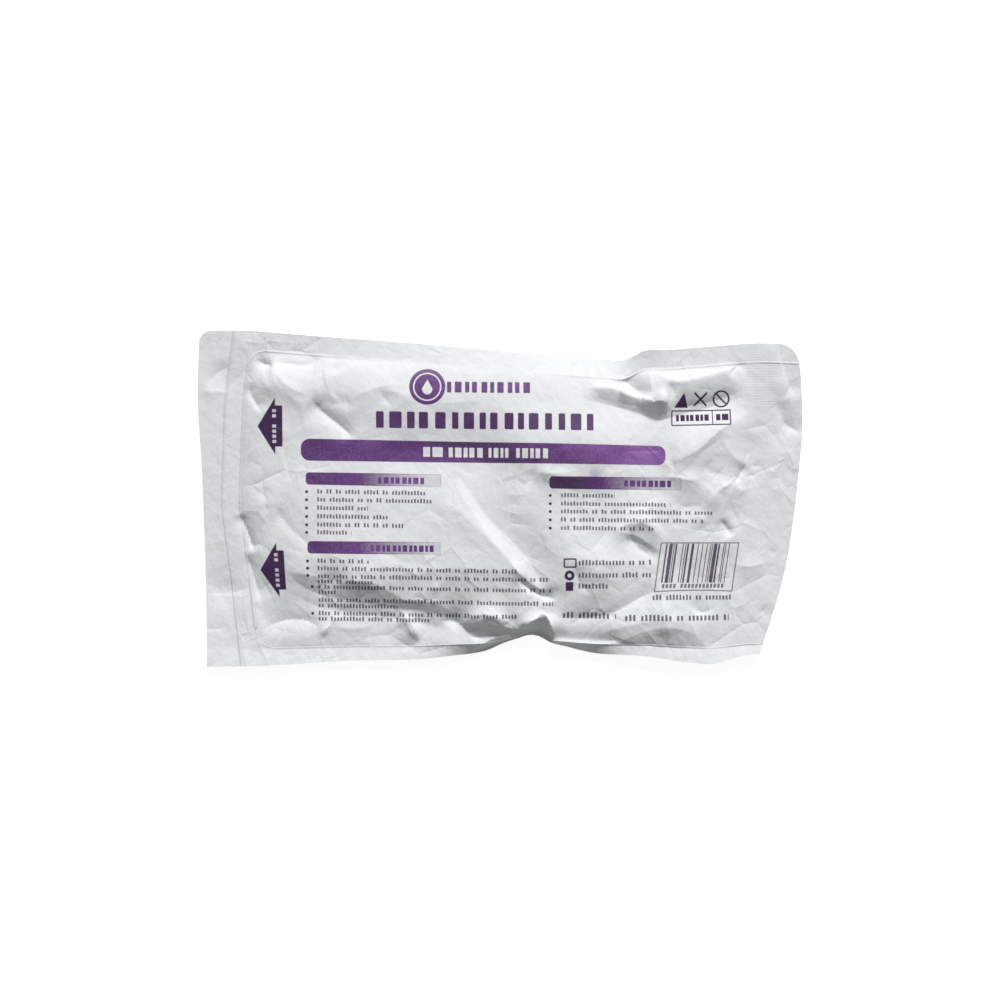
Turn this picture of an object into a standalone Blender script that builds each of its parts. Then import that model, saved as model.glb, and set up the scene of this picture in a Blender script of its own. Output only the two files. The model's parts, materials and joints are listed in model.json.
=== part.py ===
"""A sealed paper pouch that holds an infusion set, lying flat with its printed side up.

X runs along the pouch from the open-here end to the wide end seal, Y across it,
and Z up from the surface it lies on. Lengths are in metres. The contents press the
paper into bulges, and a gather at the bottom and a pinch at the top crease it.
"""
from collections import namedtuple

import bmesh
import bpy
import numpy as np

# The pouch while it is empty and flat
PACK_LENGTH = 0.246
PACK_WIDTH = 0.136
SIDE_SEAL = 0.008
END_SEAL = 0.020
PEEL_SEAL = 0.0074
GRIP_AT_POINT = 0.0075
GRIP_AT_SIDES = 0.0145
PEEL_POINT_ROUNDING = 0.06
SEAL_CORNER = 0.006
ROUND_CORNER = 0.008
CUT_CORNER = 0.005
PAPER_PAIR = 0.0005
RIB_HEIGHT = 0.0004
RIB_HALF = 0.0007

# How it is filled and how it lies
PUCKER = 0.004
BELLY_RISE = 0.004
BELLY_RUN = 0.0085
CREASE_RUN = 0.003
BACK_SAG = 0.013
BACK_RUN = 0.0085
FLANGE_LIFT = 0.0072
RELIEF = 0.007

# Grid: quads along and across each stretch between two seal lines
ALONG_STEPS = (3, 2, 62, 5)
ACROSS_STEPS = (2, 36, 2)

HALF_LENGTH = PACK_LENGTH / 2
HALF_WIDTH = PACK_WIDTH / 2

# Places below are percentages of the half length and half width from the middle.
# Edge shifts are (place along the edge, how far it moves), heights are (place along,
# percentage of FLANGE_LIFT).
TOP_EDGE_SHIFT = ((-100, 0), (-85, 0), (-58, -3.5), (-27, -7.5), (-2, -11.5), (20, -15), (36, -17), (40, -17.5),
                  (43, -15.5), (46, -12.5), (54, -11.5), (68, -9.5), (83, -7.5), (100, -8))
BOTTOM_EDGE_SHIFT = ((-100, 1), (-75, 2), (-49, 5), (-26, 6), (-15, 8), (-4, 11), (1, 15), (6, 18),
                     (10, 20), (13, 19), (16, 16), (22, 13), (29, 10), (46, 8), (62, 4), (68, 3),
                     (80, 8), (90, 10), (100, 12))
GRIP_EDGE_SHIFT = ((-100, 2.4), (-59, 2.1), (-12, 1.5), (24, 0.8), (41, 0.2), (59, -0.3), (75, -0.2), (100, 0.2))
END_EDGE_SHIFT = ((-100, -13.4), (-88, -12.2), (-79, -10.6), (-63, -8), (-44, -5.4), (-12, -2.4),
                  (19, -0.5), (44, 0.5), (62, 0.5), (80, 0), (100, -1.2))
# Of the gather, the share that the papers inside the seal take up
GATHER_SHARE = 0.36
# Width that the flange keeps in plan where it is drawn in the most
LEAST_FLANGE = 0.0015
# Where each edge's shift starts and is complete, in shares of the half size
END_REACH = (0.2, 0.48)
GRIP_REACH = (-0.5, 0)
TOP_REACH = (0.12, 0.86)
GATHER_REACH = (0.37, 0.88)

TOP_SEAL_LEVEL = ((-100, 75), (-41, 80), (0, 95), (33, 105), (42, 80), (49, 75), (81, 70), (100, 55))
TOP_EDGE_LEVEL = ((-100, 80), (-85, 84), (-57, 78), (-33, 60), (0, 50), (33, 45), (41, 55), (46, 78), (61, 76),
                  (90, 69), (100, 58))
BOTTOM_SEAL_LEVEL = ((-100, 30), (-49, 38), (-24, 55), (-7, 85), (8, 100), (18, 100), (37, 85), (57, 65),
                     (68, 50), (85, 45), (100, 40))
BOTTOM_EDGE_LEVEL = ((-100, 38), (-49, 52), (-30, 56), (-18, 50), (-8, 30), (2, 14), (16, 8), (23, 14), (31, 46),
                     (41, 76), (60, 73), (68, 69), (85, 60), (100, 54))

# Soft bulges over the contents: path, height (percentage of RELIEF), radius (percentage
# of the half width)
Bulge = namedtuple("Bulge", "path height radius")
BULGES = (
    Bulge(((-68, 71), (-62, 71)), 16, 16),
    Bulge(((-49, 68), (-33, 67)), 6, 16),
    Bulge(((-62, 28), (-46, 28)), -9, 20),
    Bulge(((-28, 28), (-7, 28)), -35, 20),
    Bulge(((11, 31), (29, 31)), 45, 20),
    Bulge(((-62, 0), (-46, 0)), 11, 20),
    Bulge(((-62, -31), (-46, -35)), 29, 20),
    Bulge(((-31, 2), (-20, 2)), 9, 18),
    Bulge(((-28, -31), (-12, -33)), 8, 20),
    Bulge(((10, -5), (16, -16)), 27, 16),
    Bulge(((24, -35), (31, -40)), 33, 16),
    Bulge(((45, -40), (55, -45)), -13, 18),
    Bulge(((68, -47), (73, -49)), -25, 18),
    Bulge(((-75, -59), (-70, -64)), -15, 16),
    Bulge(((-51, -71), (-38, -73)), -26, 16),
    Bulge(((-23, -73), (-10, -75)), -29, 14),
)

# Creases: path, height (percentage of RELIEF, negative for a valley), and how far the
# paper falls away to the left and the right of the path (percentage of the half width)
Crease = namedtuple("Crease", "path height left right")
CREASES = (
    # upper left corner
    Crease(((-75, 81), (-73, 68), (-68, 60), (-61, 55)), 9, 10, 7),
    Crease(((-58, 82), (-57, 68), (-51, 58)), -12, 5, 5),
    Crease(((-62, 56), (-56, 49), (-51, 42), (-48, 36)), -16, 5, 5),
    # along the top
    Crease(((-39, 65), (-33, 63), (-27, 59)), 10, 4, 7),
    # pinch in the top edge
    Crease(((28, 65), (36, 66), (41, 62), (46, 59)), 30, 7, 6),
    Crease(((39, 84), (41, 72), (47, 62), (50, 60)), -38, 5, 7),
    Crease(((44, 60), (51, 60), (57, 58)), 12, 4, 7),
    Crease(((44, 53), (51, 49), (57, 53)), -26, 5, 7),
    # right of the pinch, and the long lit slope below it
    Crease(((50, 71), (60, 69), (68, 72), (79, 78)), 15, 7, 9),
    Crease(((55, 54), (67, 57), (79, 64)), -34, 7, 10),
    Crease(((27, 59), (37, 55), (45, 51), (51, 47), (59, 50), (68, 54), (80, 61)), -52, 7, 25),
    Crease(((81, 52), (72, 42), (63, 31), (54, 21)), 16, 13, 12),
    # crumples at the end seal
    Crease(((79, 51), (81, 19)), 4, 4, 6),
    Crease(((80, 19), (75, 10), (71, 4), (69, -7)), 9, 5, 5),
    Crease(((70, 26), (66, 13), (70, 5)), -9, 6, 5),
    Crease(((55, 1), (61, -4), (67, -3)), -14, 7, 6),
    Crease(((52, 15), (60, 12), (67, 13)), 16, 7, 6),
    Crease(((40, 12), (49, 6), (55, 1)), -9, 7, 6),
    # middle
    Crease(((12, 18), (20, 13), (29, 12)), 17, 6, 7),
    Crease(((-16, 20), (-10, 5), (-5, -9), (3, -26), (11, -44), (16, -59), (17, -78)), -10, 13, 10),
    Crease(((-18, 0), (-10, -12), (-2, -26), (6, -42), (12, -56)), 20, 9, 13),
    # lower right
    Crease(((36, -18), (40, -15), (46, -13), (53, -23)), 32, 9, 7),
    Crease(((41, -16), (44, -26), (51, -35)), -30, 6, 7),
    Crease(((22, -36), (37, -37), (50, -35)), 19, 12, 15),
    Crease(((18, -69), (29, -69), (37, -66), (45, -58), (51, -53)), -30, 7, 7),
    Crease(((31, -80), (41, -74), (54, -71), (63, -73)), 20, 13, 7),
    Crease(((53, -59), (54, -73), (56, -82)), 11, 4, 4),
    Crease(((66, -67), (64, -62), (61, -59)), -9, 5, 5),
    Crease(((75, -38), (85, -33), (93, -26)), 7, 4, 7),
    # long steep slope over the bottom seal, and the gather
    Crease(((5, -74), (14, -68)), 30, 4, 7),
    Crease(((-12, -78), (-2, -80), (7, -78), (16, -80)), -8, 6, 6),
    Crease(((-70, -41), (-63, -44), (-57, -46)), 14, 6, 7),
    Crease(((-54, -50), (-49, -48), (-41, -50), (-33, -57)), 20, 7, 10),
    Crease(((-34, -60), (-27, -59), (-20, -61), (-16, -65)), 20, 6, 7),
    Crease(((-13, -72), (-5, -67), (3, -72)), 38, 6, 7),
    Crease(((-57, -41), (-33, -42), (-10, -40), (10, -43)), 31, 24, 14),
    Crease(((-68, -56), (-57, -64), (-44, -67), (-31, -71), (-18, -76)), -17, 9, 9),
    # lower left corner
    Crease(((-74, -3), (-69, -15), (-59, -31)), -18, 7, 7),
    Crease(((-85, -4), (-79, -3), (-71, -2)), 10, 7, 9),
    Crease(((-73, -26), (-71, -35), (-70, -44)), -7, 7, 6),
    Crease(((-81, -45), (-77, -68), (-76, -80)), -14, 7, 7),
    Crease(((-52, -67), (-56, -74), (-58, -83)), 15, 4, 4),
    Crease(((-56, -74), (-49, -76), (-41, -74)), 15, 6, 6),
    Crease(((-32, -68), (-30, -74), (-28, -82)), 22, 4, 4),
)
# The same for creases that run out over the seals to the edge
EDGE_CREASES = (
    Crease(((-100, -51), (-90, -51), (-83, -48)), -30, 21, 21),
    Crease(((-87, 99), (-84, 91), (-80, 82)), 12, 9, 9),
    Crease(((90, 92), (92, 78), (94, 61)), 20, 4, 9),
    Crease(((90, 59), (94, 44), (99, 39)), -13, 6, 6),
    Crease(((66, -67), (67, -87), (66, -99)), 9, 6, 6),
)
CREASE_ROUNDING = 1.2
CREASE_POWER = 1.3


def clear_scene():
    """Remove whatever the opened file holds."""
    for thing in list(bpy.data.objects):
        bpy.data.objects.remove(thing)


def ease(share):
    """Run smoothly from 0 to 1."""
    share = np.clip(share, 0, 1)
    return share * share * (3 - 2 * share)


def curve(stations, where):
    """A smooth curve through (place, value) stations."""
    places, values = np.asarray(stations, float).T
    tangents = np.gradient(values, places)
    where = np.clip(where, places[0], places[-1])
    i = np.clip(np.searchsorted(places, where) - 1, 0, len(places) - 2)
    run = places[i + 1] - places[i]
    t = (where - places[i]) / run
    start = (2 * t**3 - 3 * t**2 + 1) * values[i] + (t**3 - 2 * t**2 + t) * run * tangents[i]
    end = (3 * t**2 - 2 * t**3) * values[i + 1] + (t**3 - t**2) * run * tangents[i + 1]
    return start + end


def peel_line(v):
    """Distance of the chevron's outer line from the grip edge, pointed in the middle."""
    share = np.hypot(v / HALF_WIDTH, PEEL_POINT_ROUNDING)
    return GRIP_AT_POINT + (GRIP_AT_SIDES - GRIP_AT_POINT) * share


def depths_in_pouch(u, v):
    """How far a place on the flat sheet lies inside each of the four seals; negative in a seal."""
    from_peel = u + HALF_LENGTH - peel_line(v) - PEEL_SEAL
    from_end = HALF_LENGTH - END_SEAL - u
    return from_peel, from_end, HALF_WIDTH - SIDE_SEAL - v, HALF_WIDTH - SIDE_SEAL + v


def depth_in_pouch(u, v):
    """Depth inside the nearest seal line, whose corners are rounded."""
    from_peel, from_end, from_top, from_bottom = depths_in_pouch(u, v)
    along, across = np.minimum(from_peel, from_end), np.minimum(from_top, from_bottom)
    corner = SEAL_CORNER - np.hypot(np.maximum(SEAL_CORNER - along, 0), np.maximum(SEAL_CORNER - across, 0))
    in_corner = (along < SEAL_CORNER) & (across < SEAL_CORNER)
    return np.where(in_corner, corner, np.minimum(along, across))


def filled(u, v, run):
    """From 0 in the seals to 1 in the middle, within a few runs of every seal line."""
    return np.prod([1 - np.exp(-np.maximum(depth, 0) / run) for depth in depths_in_pouch(u, v)], axis=0)


def round_corner(u, v, end, radius):
    """Draw the top corner at one end in to a quarter circle."""
    a = np.maximum(radius - (HALF_LENGTH - end * u), 0)
    b = np.maximum(radius - (HALF_WIDTH - v), 0)
    shrink = np.maximum(a, b) / np.maximum(np.hypot(a, b), 1e-9)
    shrink = np.where((a > 0) & (b > 0), shrink, 1)
    return u - end * a * (1 - shrink), v - b * (1 - shrink)


def reached(reach, place):
    """How much of an edge's shift a place takes up."""
    start, complete = reach
    return ease((place - start) / (complete - start))


def lie_in_plan(u, v):
    """Where a place on the flat sheet lies once the pouch is filled, gathered and pinched."""
    u, v = round_corner(u, v, 1, ROUND_CORNER)
    u, v = round_corner(u, v, -1, CUT_CORNER)
    x = u * (1 - PUCKER / PACK_LENGTH)
    up = v / HALF_WIDTH
    x = x + HALF_LENGTH / 100 * curve(END_EDGE_SHIFT, 100 * up) * reached(END_REACH, x / HALF_LENGTH)
    x = x + HALF_LENGTH / 100 * curve(GRIP_EDGE_SHIFT, 100 * up) * (1 - reached(GRIP_REACH, x / HALF_LENGTH))
    along = 100 * x / HALF_LENGTH
    top = curve(TOP_EDGE_SHIFT, along) * reached(TOP_REACH, up)
    in_seal = np.clip((SIDE_SEAL - HALF_WIDTH - v) / SIDE_SEAL, 0, 1)
    bottom = HALF_WIDTH / 100 * curve(BOTTOM_EDGE_SHIFT, along)
    share = np.maximum(GATHER_SHARE, 1 - (SIDE_SEAL - LEAST_FLANGE) / np.maximum(bottom, SIDE_SEAL))
    gathered = share * reached(GATHER_REACH, -up) + (1 - share) * in_seal
    return x, v + HALF_WIDTH / 100 * top + bottom * gathered


def seal_level(x, v):
    """Height of the middle of the sealed papers, and its run underneath the contents."""
    along = 100 * x / HALF_LENGTH
    inner = HALF_WIDTH - SIDE_SEAL
    top_seal, top_edge = curve(TOP_SEAL_LEVEL, along), curve(TOP_EDGE_LEVEL, along)
    bottom_seal, bottom_edge = curve(BOTTOM_SEAL_LEVEL, along), curve(BOTTOM_EDGE_LEVEL, along)
    share = ease((v + inner) / (2 * inner))
    level = top_seal * share + bottom_seal * (1 - share)
    level += (top_edge - top_seal) * np.clip((v - inner) / SIDE_SEAL, 0, 1)
    level += (bottom_edge - bottom_seal) * np.clip((-v - inner) / SIDE_SEAL, 0, 1)
    return level / 100 * FLANGE_LIFT


def in_plan(path):
    """A path given in percentages, in metres."""
    return np.asarray(path, float) / 100 * (HALF_LENGTH, HALF_WIDTH)


def along_and_beside(path, x, y):
    """Places seen from a path's first point: the distance along its chord, and beside it."""
    chord = path[-1] - path[0]
    way = chord / np.hypot(*chord)
    dx, dy = x - path[0, 0], y - path[0, 1]
    return dx * way[0] + dy * way[1], dy * way[0] - dx * way[1]


def bulge_height(bulge, x, y):
    """A soft swelling around a short straight path."""
    path = in_plan(bulge.path)
    along, beside = along_and_beside(path, x, y)
    past_ends = along - np.clip(along, 0, np.hypot(*(path[-1] - path[0])))
    radius = bulge.radius / 100 * HALF_WIDTH
    return bulge.height / 100 * RELIEF * np.exp(-(past_ends**2 + beside**2) / radius**2)


def crease_height(crease, x, y):
    """A crest or a valley that dies away on both sides and past its ends."""
    path = in_plan(crease.path)
    along, beside = along_and_beside(path, x, y)
    if len(path) > 2:
        bend = np.column_stack(along_and_beside(path, *path.T))
        beside = beside - curve(bend, along)
    length = np.hypot(*(path[-1] - path[0]))
    away = 100 * np.abs(beside) / HALF_WIDTH
    away = (np.hypot(away, CREASE_ROUNDING) - CREASE_ROUNDING) / np.where(beside > 0, crease.left, crease.right)
    reach = min(length / 2, (crease.left + crease.right) / 200 * HALF_WIDTH)
    ends = ease((along + reach / 2) / (2 * reach)) * ease((length + reach / 2 - along) / (2 * reach))
    return crease.height / 100 * RELIEF * np.exp(-away**CREASE_POWER) * ends


def rib_height(u, v):
    """The low ribs that the sealing bars press along the seal lines."""
    from_edge = u + HALF_LENGTH
    lines = [from_edge - peel_line(v), depth_in_pouch(u, v)]
    return sum(RIB_HEIGHT * np.clip(1 - np.abs(line) / RIB_HALF, 0, 1) for line in lines)


def sheet_heights(u, v, x, y):
    """Heights of the printed front and of the plain back."""
    middle = seal_level(x, v) + sum(crease_height(crease, x, y) for crease in EDGE_CREASES)
    middle = np.maximum(middle, PAPER_PAIR)
    relief = sum(bulge_height(bulge, x, y) for bulge in BULGES)
    relief = relief + sum(crease_height(crease, x, y) for crease in CREASES)
    relief = BELLY_RISE * filled(u, v, BELLY_RUN) + relief * filled(u, v, CREASE_RUN)
    front = middle + PAPER_PAIR / 2 + relief + rib_height(u, v)
    back = np.maximum(middle - PAPER_PAIR / 2 - BACK_SAG * filled(u, v, BACK_RUN), 0)
    return np.maximum(front, back + PAPER_PAIR), back


def grid_lines(stops, steps):
    """Places between stops, each stretch in even steps, with a line either side of each
    inner stop where a rib rises and falls. Stops may be arrays."""
    lines = [stops[0]]
    for k, count in enumerate(steps):
        start = stops[k] + (RIB_HALF if k else 0)
        end = stops[k + 1] - (RIB_HALF if k + 1 < len(steps) else 0)
        if k:
            lines.append(start)
        lines += [start + (end - start) * n / count for n in range(1, count + 1)]
        if k + 1 < len(steps):
            lines.append(stops[k + 1])
    return lines


def flat_sheet():
    """The flat sheet's grid, with its lines along the seal lines."""
    inner = HALF_WIDTH - SIDE_SEAL
    across = np.array(grid_lines([-HALF_WIDTH, -inner, inner, HALF_WIDTH], ACROSS_STEPS))
    peel = peel_line(across) - HALF_LENGTH
    edge = np.full_like(across, HALF_LENGTH)
    u = np.array(grid_lines([-edge, peel, peel + PEEL_SEAL, edge - END_SEAL, edge], ALONG_STEPS))
    return u, np.broadcast_to(across, u.shape)


def paper():
    """White medical paper."""
    material = bpy.data.materials.new("medical_paper")
    material.use_nodes = True
    shader = material.node_tree.nodes["Principled BSDF"]
    shader.inputs["Base Color"].default_value = (0.80, 0.81, 0.82, 1)
    shader.inputs["Roughness"].default_value = 0.75
    shader.inputs["Metallic"].default_value = 0
    return material


def add_sheet(bm, x, y, z):
    """One sheet as a grid of quads, and its vertices in the grid's own order."""
    columns, rows = x.shape
    made = bmesh.ops.create_grid(bm, x_segments=columns - 1, y_segments=rows - 1, size=1)["verts"]
    placed = {}
    for vertex in made:
        i = round((vertex.co.x + 1) / 2 * (columns - 1))
        j = round((vertex.co.y + 1) / 2 * (rows - 1))
        placed[i, j] = vertex
    for (i, j), vertex in placed.items():
        vertex.co = (x[i, j], y[i, j], z[i, j])
    return placed


def rim(sheet, columns, rows):
    """A sheet's outer vertices, once round."""
    ring = [(i, 0) for i in range(columns - 1)] + [(columns - 1, j) for j in range(rows - 1)]
    ring += [(i, rows - 1) for i in range(columns - 1, 0, -1)] + [(0, j) for j in range(rows - 1, 0, -1)]
    return [sheet[place] for place in ring]


def centred(places):
    """The same places, with the middle of their range at 0."""
    return places - (places.min() + places.max()) / 2


def sealed_pouch():
    """Front and back papers, joined all round at the rim."""
    u, v = flat_sheet()
    x, y = lie_in_plan(u, v)
    front, back = sheet_heights(u, v, x, y)
    x, y = centred(x), centred(y)
    bm = bmesh.new()
    top = add_sheet(bm, x, y, front)
    bottom = add_sheet(bm, x, y, back)
    bmesh.ops.reverse_faces(bm, faces=[f for f in bm.faces if f.verts[0] in set(bottom.values())])
    upper, lower = rim(top, *x.shape), rim(bottom, *x.shape)
    for k, vertex in enumerate(upper):
        bm.faces.new((vertex, lower[k], lower[k - 1], upper[k - 1]))
    bmesh.ops.recalc_face_normals(bm, faces=bm.faces)
    mesh = bpy.data.meshes.new("sealed_pouch")
    bm.to_mesh(mesh)
    bm.free()
    mesh.shade_smooth()
    mesh.materials.append(paper())
    pouch = bpy.data.objects.new("sealed_pouch", mesh)
    bpy.context.collection.objects.link(pouch)
    return pouch


clear_scene()
sealed_pouch()
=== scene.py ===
"""Looks for a sealed paper pouch that holds an infusion set.

The pouch is one finely gridded closed mesh, in the same frame and of the same size as
the model's solid. Its print is drawn by the paper's material, in millimetres on the plan.
"""

import json
from math import cos, pi, radians, sin

import bpy
import numpy as np
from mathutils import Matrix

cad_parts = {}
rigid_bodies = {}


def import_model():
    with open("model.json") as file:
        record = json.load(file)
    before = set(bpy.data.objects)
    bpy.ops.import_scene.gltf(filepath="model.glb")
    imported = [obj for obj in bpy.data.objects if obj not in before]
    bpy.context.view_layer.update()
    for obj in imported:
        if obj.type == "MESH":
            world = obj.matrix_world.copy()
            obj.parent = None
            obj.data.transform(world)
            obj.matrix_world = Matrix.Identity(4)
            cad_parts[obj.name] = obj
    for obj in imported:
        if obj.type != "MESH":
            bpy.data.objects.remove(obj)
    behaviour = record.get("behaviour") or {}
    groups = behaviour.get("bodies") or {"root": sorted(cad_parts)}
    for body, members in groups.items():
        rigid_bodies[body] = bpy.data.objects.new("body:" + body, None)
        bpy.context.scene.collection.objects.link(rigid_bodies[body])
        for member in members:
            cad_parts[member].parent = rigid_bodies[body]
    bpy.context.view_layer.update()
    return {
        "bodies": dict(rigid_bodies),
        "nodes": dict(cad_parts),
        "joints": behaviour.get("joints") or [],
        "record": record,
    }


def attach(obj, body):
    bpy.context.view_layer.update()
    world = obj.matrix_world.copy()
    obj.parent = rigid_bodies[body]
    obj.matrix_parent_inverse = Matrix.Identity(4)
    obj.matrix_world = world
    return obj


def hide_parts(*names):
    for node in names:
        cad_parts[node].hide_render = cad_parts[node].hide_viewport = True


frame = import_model()

# The pouch while it is empty and flat, in metres
PACK_LENGTH = 0.246
PACK_WIDTH = 0.136
SIDE_SEAL = 0.008
END_SEAL = 0.020
PEEL_SEAL = 0.0074
GRIP_AT_POINT = 0.0075
GRIP_AT_SIDES = 0.0145
PEEL_POINT_ROUNDING = 0.06
SEAL_CORNER = 0.006
ROUND_CORNER = 0.008
CUT_CORNER = 0.005
PAPER_PAIR = 0.0005
RIB_HEIGHT = 0.00028
RIB_HALF = 0.0005

# How it is filled and how it lies
PUCKER = 0.004
BELLY_RISE = 0.004
BELLY_RUN = 0.0085
CREASE_RUN = 0.003
FOLD_RUN = 0.0015
BACK_SAG = 0.013
BACK_RUN = 0.0085
FLANGE_LIFT = 0.0072
RELIEF = 0.007

# Grid of the front: quads along and across each stretch between two seal lines. The back
# takes only every so many lines, and the line count of each stretch fits that.
ALONG_STEPS = (19, 10, 326, 31)
ACROSS_STEPS = (11, 194, 11)
BACK_STRIDE = 4

HALF_LENGTH = PACK_LENGTH / 2
HALF_WIDTH = PACK_WIDTH / 2

# Places below are percentages of the half length and half width from the middle.
# Edge shifts are (place along the edge, how far it moves), heights are (place along,
# percentage of FLANGE_LIFT).
TOP_EDGE_SHIFT = ((-100, 0), (-85, 0), (-58, -3.5), (-27, -7.5), (-2, -11.5), (20, -15), (36, -17),
                  (40, -17.5), (43, -15.5), (46, -12.5), (54, -11.5), (68, -9.5), (83, -7.5), (100, -8))
BOTTOM_EDGE_SHIFT = ((-100, 1), (-75, 2), (-49, 5), (-26, 6), (-15, 8), (-4, 11), (1, 15), (6, 18),
                     (10, 20), (13, 19), (16, 16), (22, 13), (29, 10), (46, 8), (62, 4), (68, 3),
                     (80, 8), (90, 10), (100, 12))
GRIP_EDGE_SHIFT = ((-100, 2.4), (-59, 2.1), (-12, 1.5), (24, 0.8), (41, 0.2), (59, -0.3), (75, -0.2),
                   (100, 0.2))
END_EDGE_SHIFT = ((-100, -13.4), (-88, -12.2), (-79, -10.6), (-63, -8), (-44, -5.4), (-12, -2.4),
                  (19, -0.5), (44, 0.5), (62, 0.5), (80, 0), (100, -1.2))
# Of the gather, the share that the papers inside the seal take up
GATHER_SHARE = 0.36
# Width that the flange keeps in plan where it is drawn in the most
LEAST_FLANGE = 0.0015
# Where each edge's shift starts and is complete, in shares of the half size
END_REACH = (0.2, 0.48)
GRIP_REACH = (-0.5, 0)
TOP_REACH = (0.12, 0.86)
GATHER_REACH = (0.37, 0.88)

TOP_SEAL_LEVEL = ((-100, 75), (-41, 80), (0, 95), (33, 105), (42, 80), (49, 75), (81, 70), (100, 55))
TOP_EDGE_LEVEL = ((-100, 80), (-85, 84), (-57, 78), (-33, 60), (0, 50), (33, 45), (41, 55), (46, 78),
                  (61, 76), (90, 69), (100, 58))
BOTTOM_SEAL_LEVEL = ((-100, 30), (-49, 38), (-24, 55), (-7, 85), (8, 100), (18, 100), (37, 85), (57, 65),
                     (68, 50), (85, 45), (100, 40))
BOTTOM_EDGE_LEVEL = ((-100, 38), (-49, 52), (-30, 56), (-18, 50), (-8, 30), (2, 14), (16, 8), (23, 14),
                     (31, 46), (41, 76), (60, 73), (68, 69), (85, 60), (100, 54))

# How plainly the long seal lines show, in percent at places along the pouch
TOP_RIB = ((-100, 100), (-62, 100), (-40, 35), (20, 30), (34, 90), (100, 100))
BOTTOM_RIB = ((-100, 60), (-60, 60), (-35, 50), (-15, 100), (100, 100))
RIB_LOST_IN_CORNER = 0.5

# Soft bulges over the contents: height (percentage of RELIEF), radius (percentage of the
# half width), and the points of the path
BULGES = (
    (16, 16, (-68, 71), (-62, 71)),
    (6, 16, (-49, 68), (-33, 67)),
    (-9, 20, (-62, 28), (-46, 28)),
    (-35, 20, (-28, 28), (-7, 28)),
    (45, 20, (11, 31), (29, 31)),
    (11, 20, (-62, 0), (-46, 0)),
    (29, 20, (-62, -31), (-46, -35)),
    (9, 18, (-31, 2), (-20, 2)),
    (8, 20, (-28, -31), (-12, -33)),
    (27, 16, (10, -5), (16, -16)),
    (33, 16, (24, -35), (31, -40)),
    (-13, 18, (45, -40), (55, -45)),
    (-25, 18, (68, -47), (73, -49)),
    (-21, 17, (-75, -59), (-70, -64)),
    (-33, 17, (-51, -71), (-38, -73)),
    (-34, 14, (-23, -73), (-10, -75)),
)

# Creases: height (percentage of RELIEF, negative for a valley), how far the paper falls away
# to the left and the right of the path (percentage of the half width), and the path's points
CREASES = (
    # upper left corner
    (9, 10, 7, (-75, 81), (-73, 68), (-68, 60), (-61, 55)),
    (-12, 5, 5, (-58, 82), (-57, 68), (-51, 58)),
    (-16, 5, 5, (-62, 56), (-56, 49), (-51, 42), (-48, 36)),
    # along the top
    (10, 4, 7, (-39, 65), (-33, 63), (-27, 59)),
    # pinch in the top edge
    (30, 7, 6, (28, 65), (36, 66), (41, 62), (46, 59)),
    (-38, 5, 7, (39, 84), (41, 72), (47, 62), (50, 60)),
    (12, 4, 7, (44, 60), (51, 60), (57, 58)),
    # right of the pinch, and the long lit slope below it
    (15, 7, 9, (50, 71), (60, 69), (68, 72), (79, 78)),
    (-34, 7, 10, (55, 54), (67, 57), (79, 64)),
    (-52, 7, 25, (27, 59), (37, 55), (45, 51), (51, 47), (59, 50), (68, 54), (80, 61)),
    (23, 15, 12, (81, 52), (72, 42), (63, 31), (54, 21)),
    # crumples at the end seal
    (4, 4, 6, (79, 51), (81, 19)),
    (9, 5, 5, (80, 19), (75, 10), (71, 4), (69, -7)),
    (-9, 6, 5, (70, 26), (66, 13), (70, 5)),
    (-14, 7, 6, (55, 1), (61, -4), (67, -3)),
    (16, 7, 6, (52, 15), (60, 12), (67, 13)),
    (-9, 7, 6, (40, 12), (49, 6), (55, 1)),
    # middle
    (17, 6, 7, (12, 18), (20, 13), (29, 12)),
    (-10, 13, 10, (-16, 20), (-10, 5), (-5, -9), (3, -26), (11, -44), (16, -59), (17, -78)),
    (20, 9, 13, (-18, 0), (-10, -12), (-2, -26), (6, -42), (12, -56)),
    # lower right
    (32, 9, 7, (36, -18), (40, -15), (46, -13), (53, -23)),
    (-30, 6, 7, (41, -16), (44, -26), (51, -35)),
    (19, 12, 15, (22, -36), (37, -37), (50, -35)),
    (-30, 7, 7, (18, -69), (29, -69), (37, -66), (45, -58), (51, -53)),
    (20, 13, 7, (31, -80), (41, -74), (54, -71), (63, -73)),
    (11, 4, 4, (53, -59), (54, -73), (56, -82)),
    (-9, 5, 5, (66, -67), (64, -62), (61, -59)),
    (7, 4, 7, (75, -38), (85, -33), (93, -26)),
    # long steep slope over the bottom seal, and the gather
    (30, 4, 7, (5, -74), (14, -68)),
    (-8, 6, 6, (-12, -78), (-2, -80), (7, -78), (16, -80)),
    (14, 6, 7, (-70, -41), (-63, -44), (-57, -46)),
    (17, 7, 10, (-54, -50), (-49, -48), (-41, -50), (-33, -57)),
    (17, 6, 7, (-34, -60), (-27, -59), (-20, -61), (-16, -65)),
    (38, 6, 7, (-13, -72), (-5, -67), (3, -72)),
    (23, 24, 14, (-57, -41), (-33, -42), (-10, -40), (10, -43)),
    (-17, 9, 9, (-68, -56), (-57, -64), (-44, -67), (-31, -71), (-18, -76)),
    # lower left corner
    (-18, 7, 7, (-74, -3), (-69, -15), (-59, -31)),
    (10, 7, 9, (-85, -4), (-79, -3), (-71, -2)),
    (-7, 7, 6, (-73, -26), (-71, -35), (-70, -44)),
    (-14, 7, 7, (-81, -45), (-77, -68), (-76, -80)),
    (15, 4, 4, (-52, -67), (-56, -74), (-58, -83)),
    (15, 6, 6, (-56, -74), (-49, -76), (-41, -74)),
    (22, 4, 4, (-32, -68), (-30, -74), (-28, -82)),
)
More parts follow.
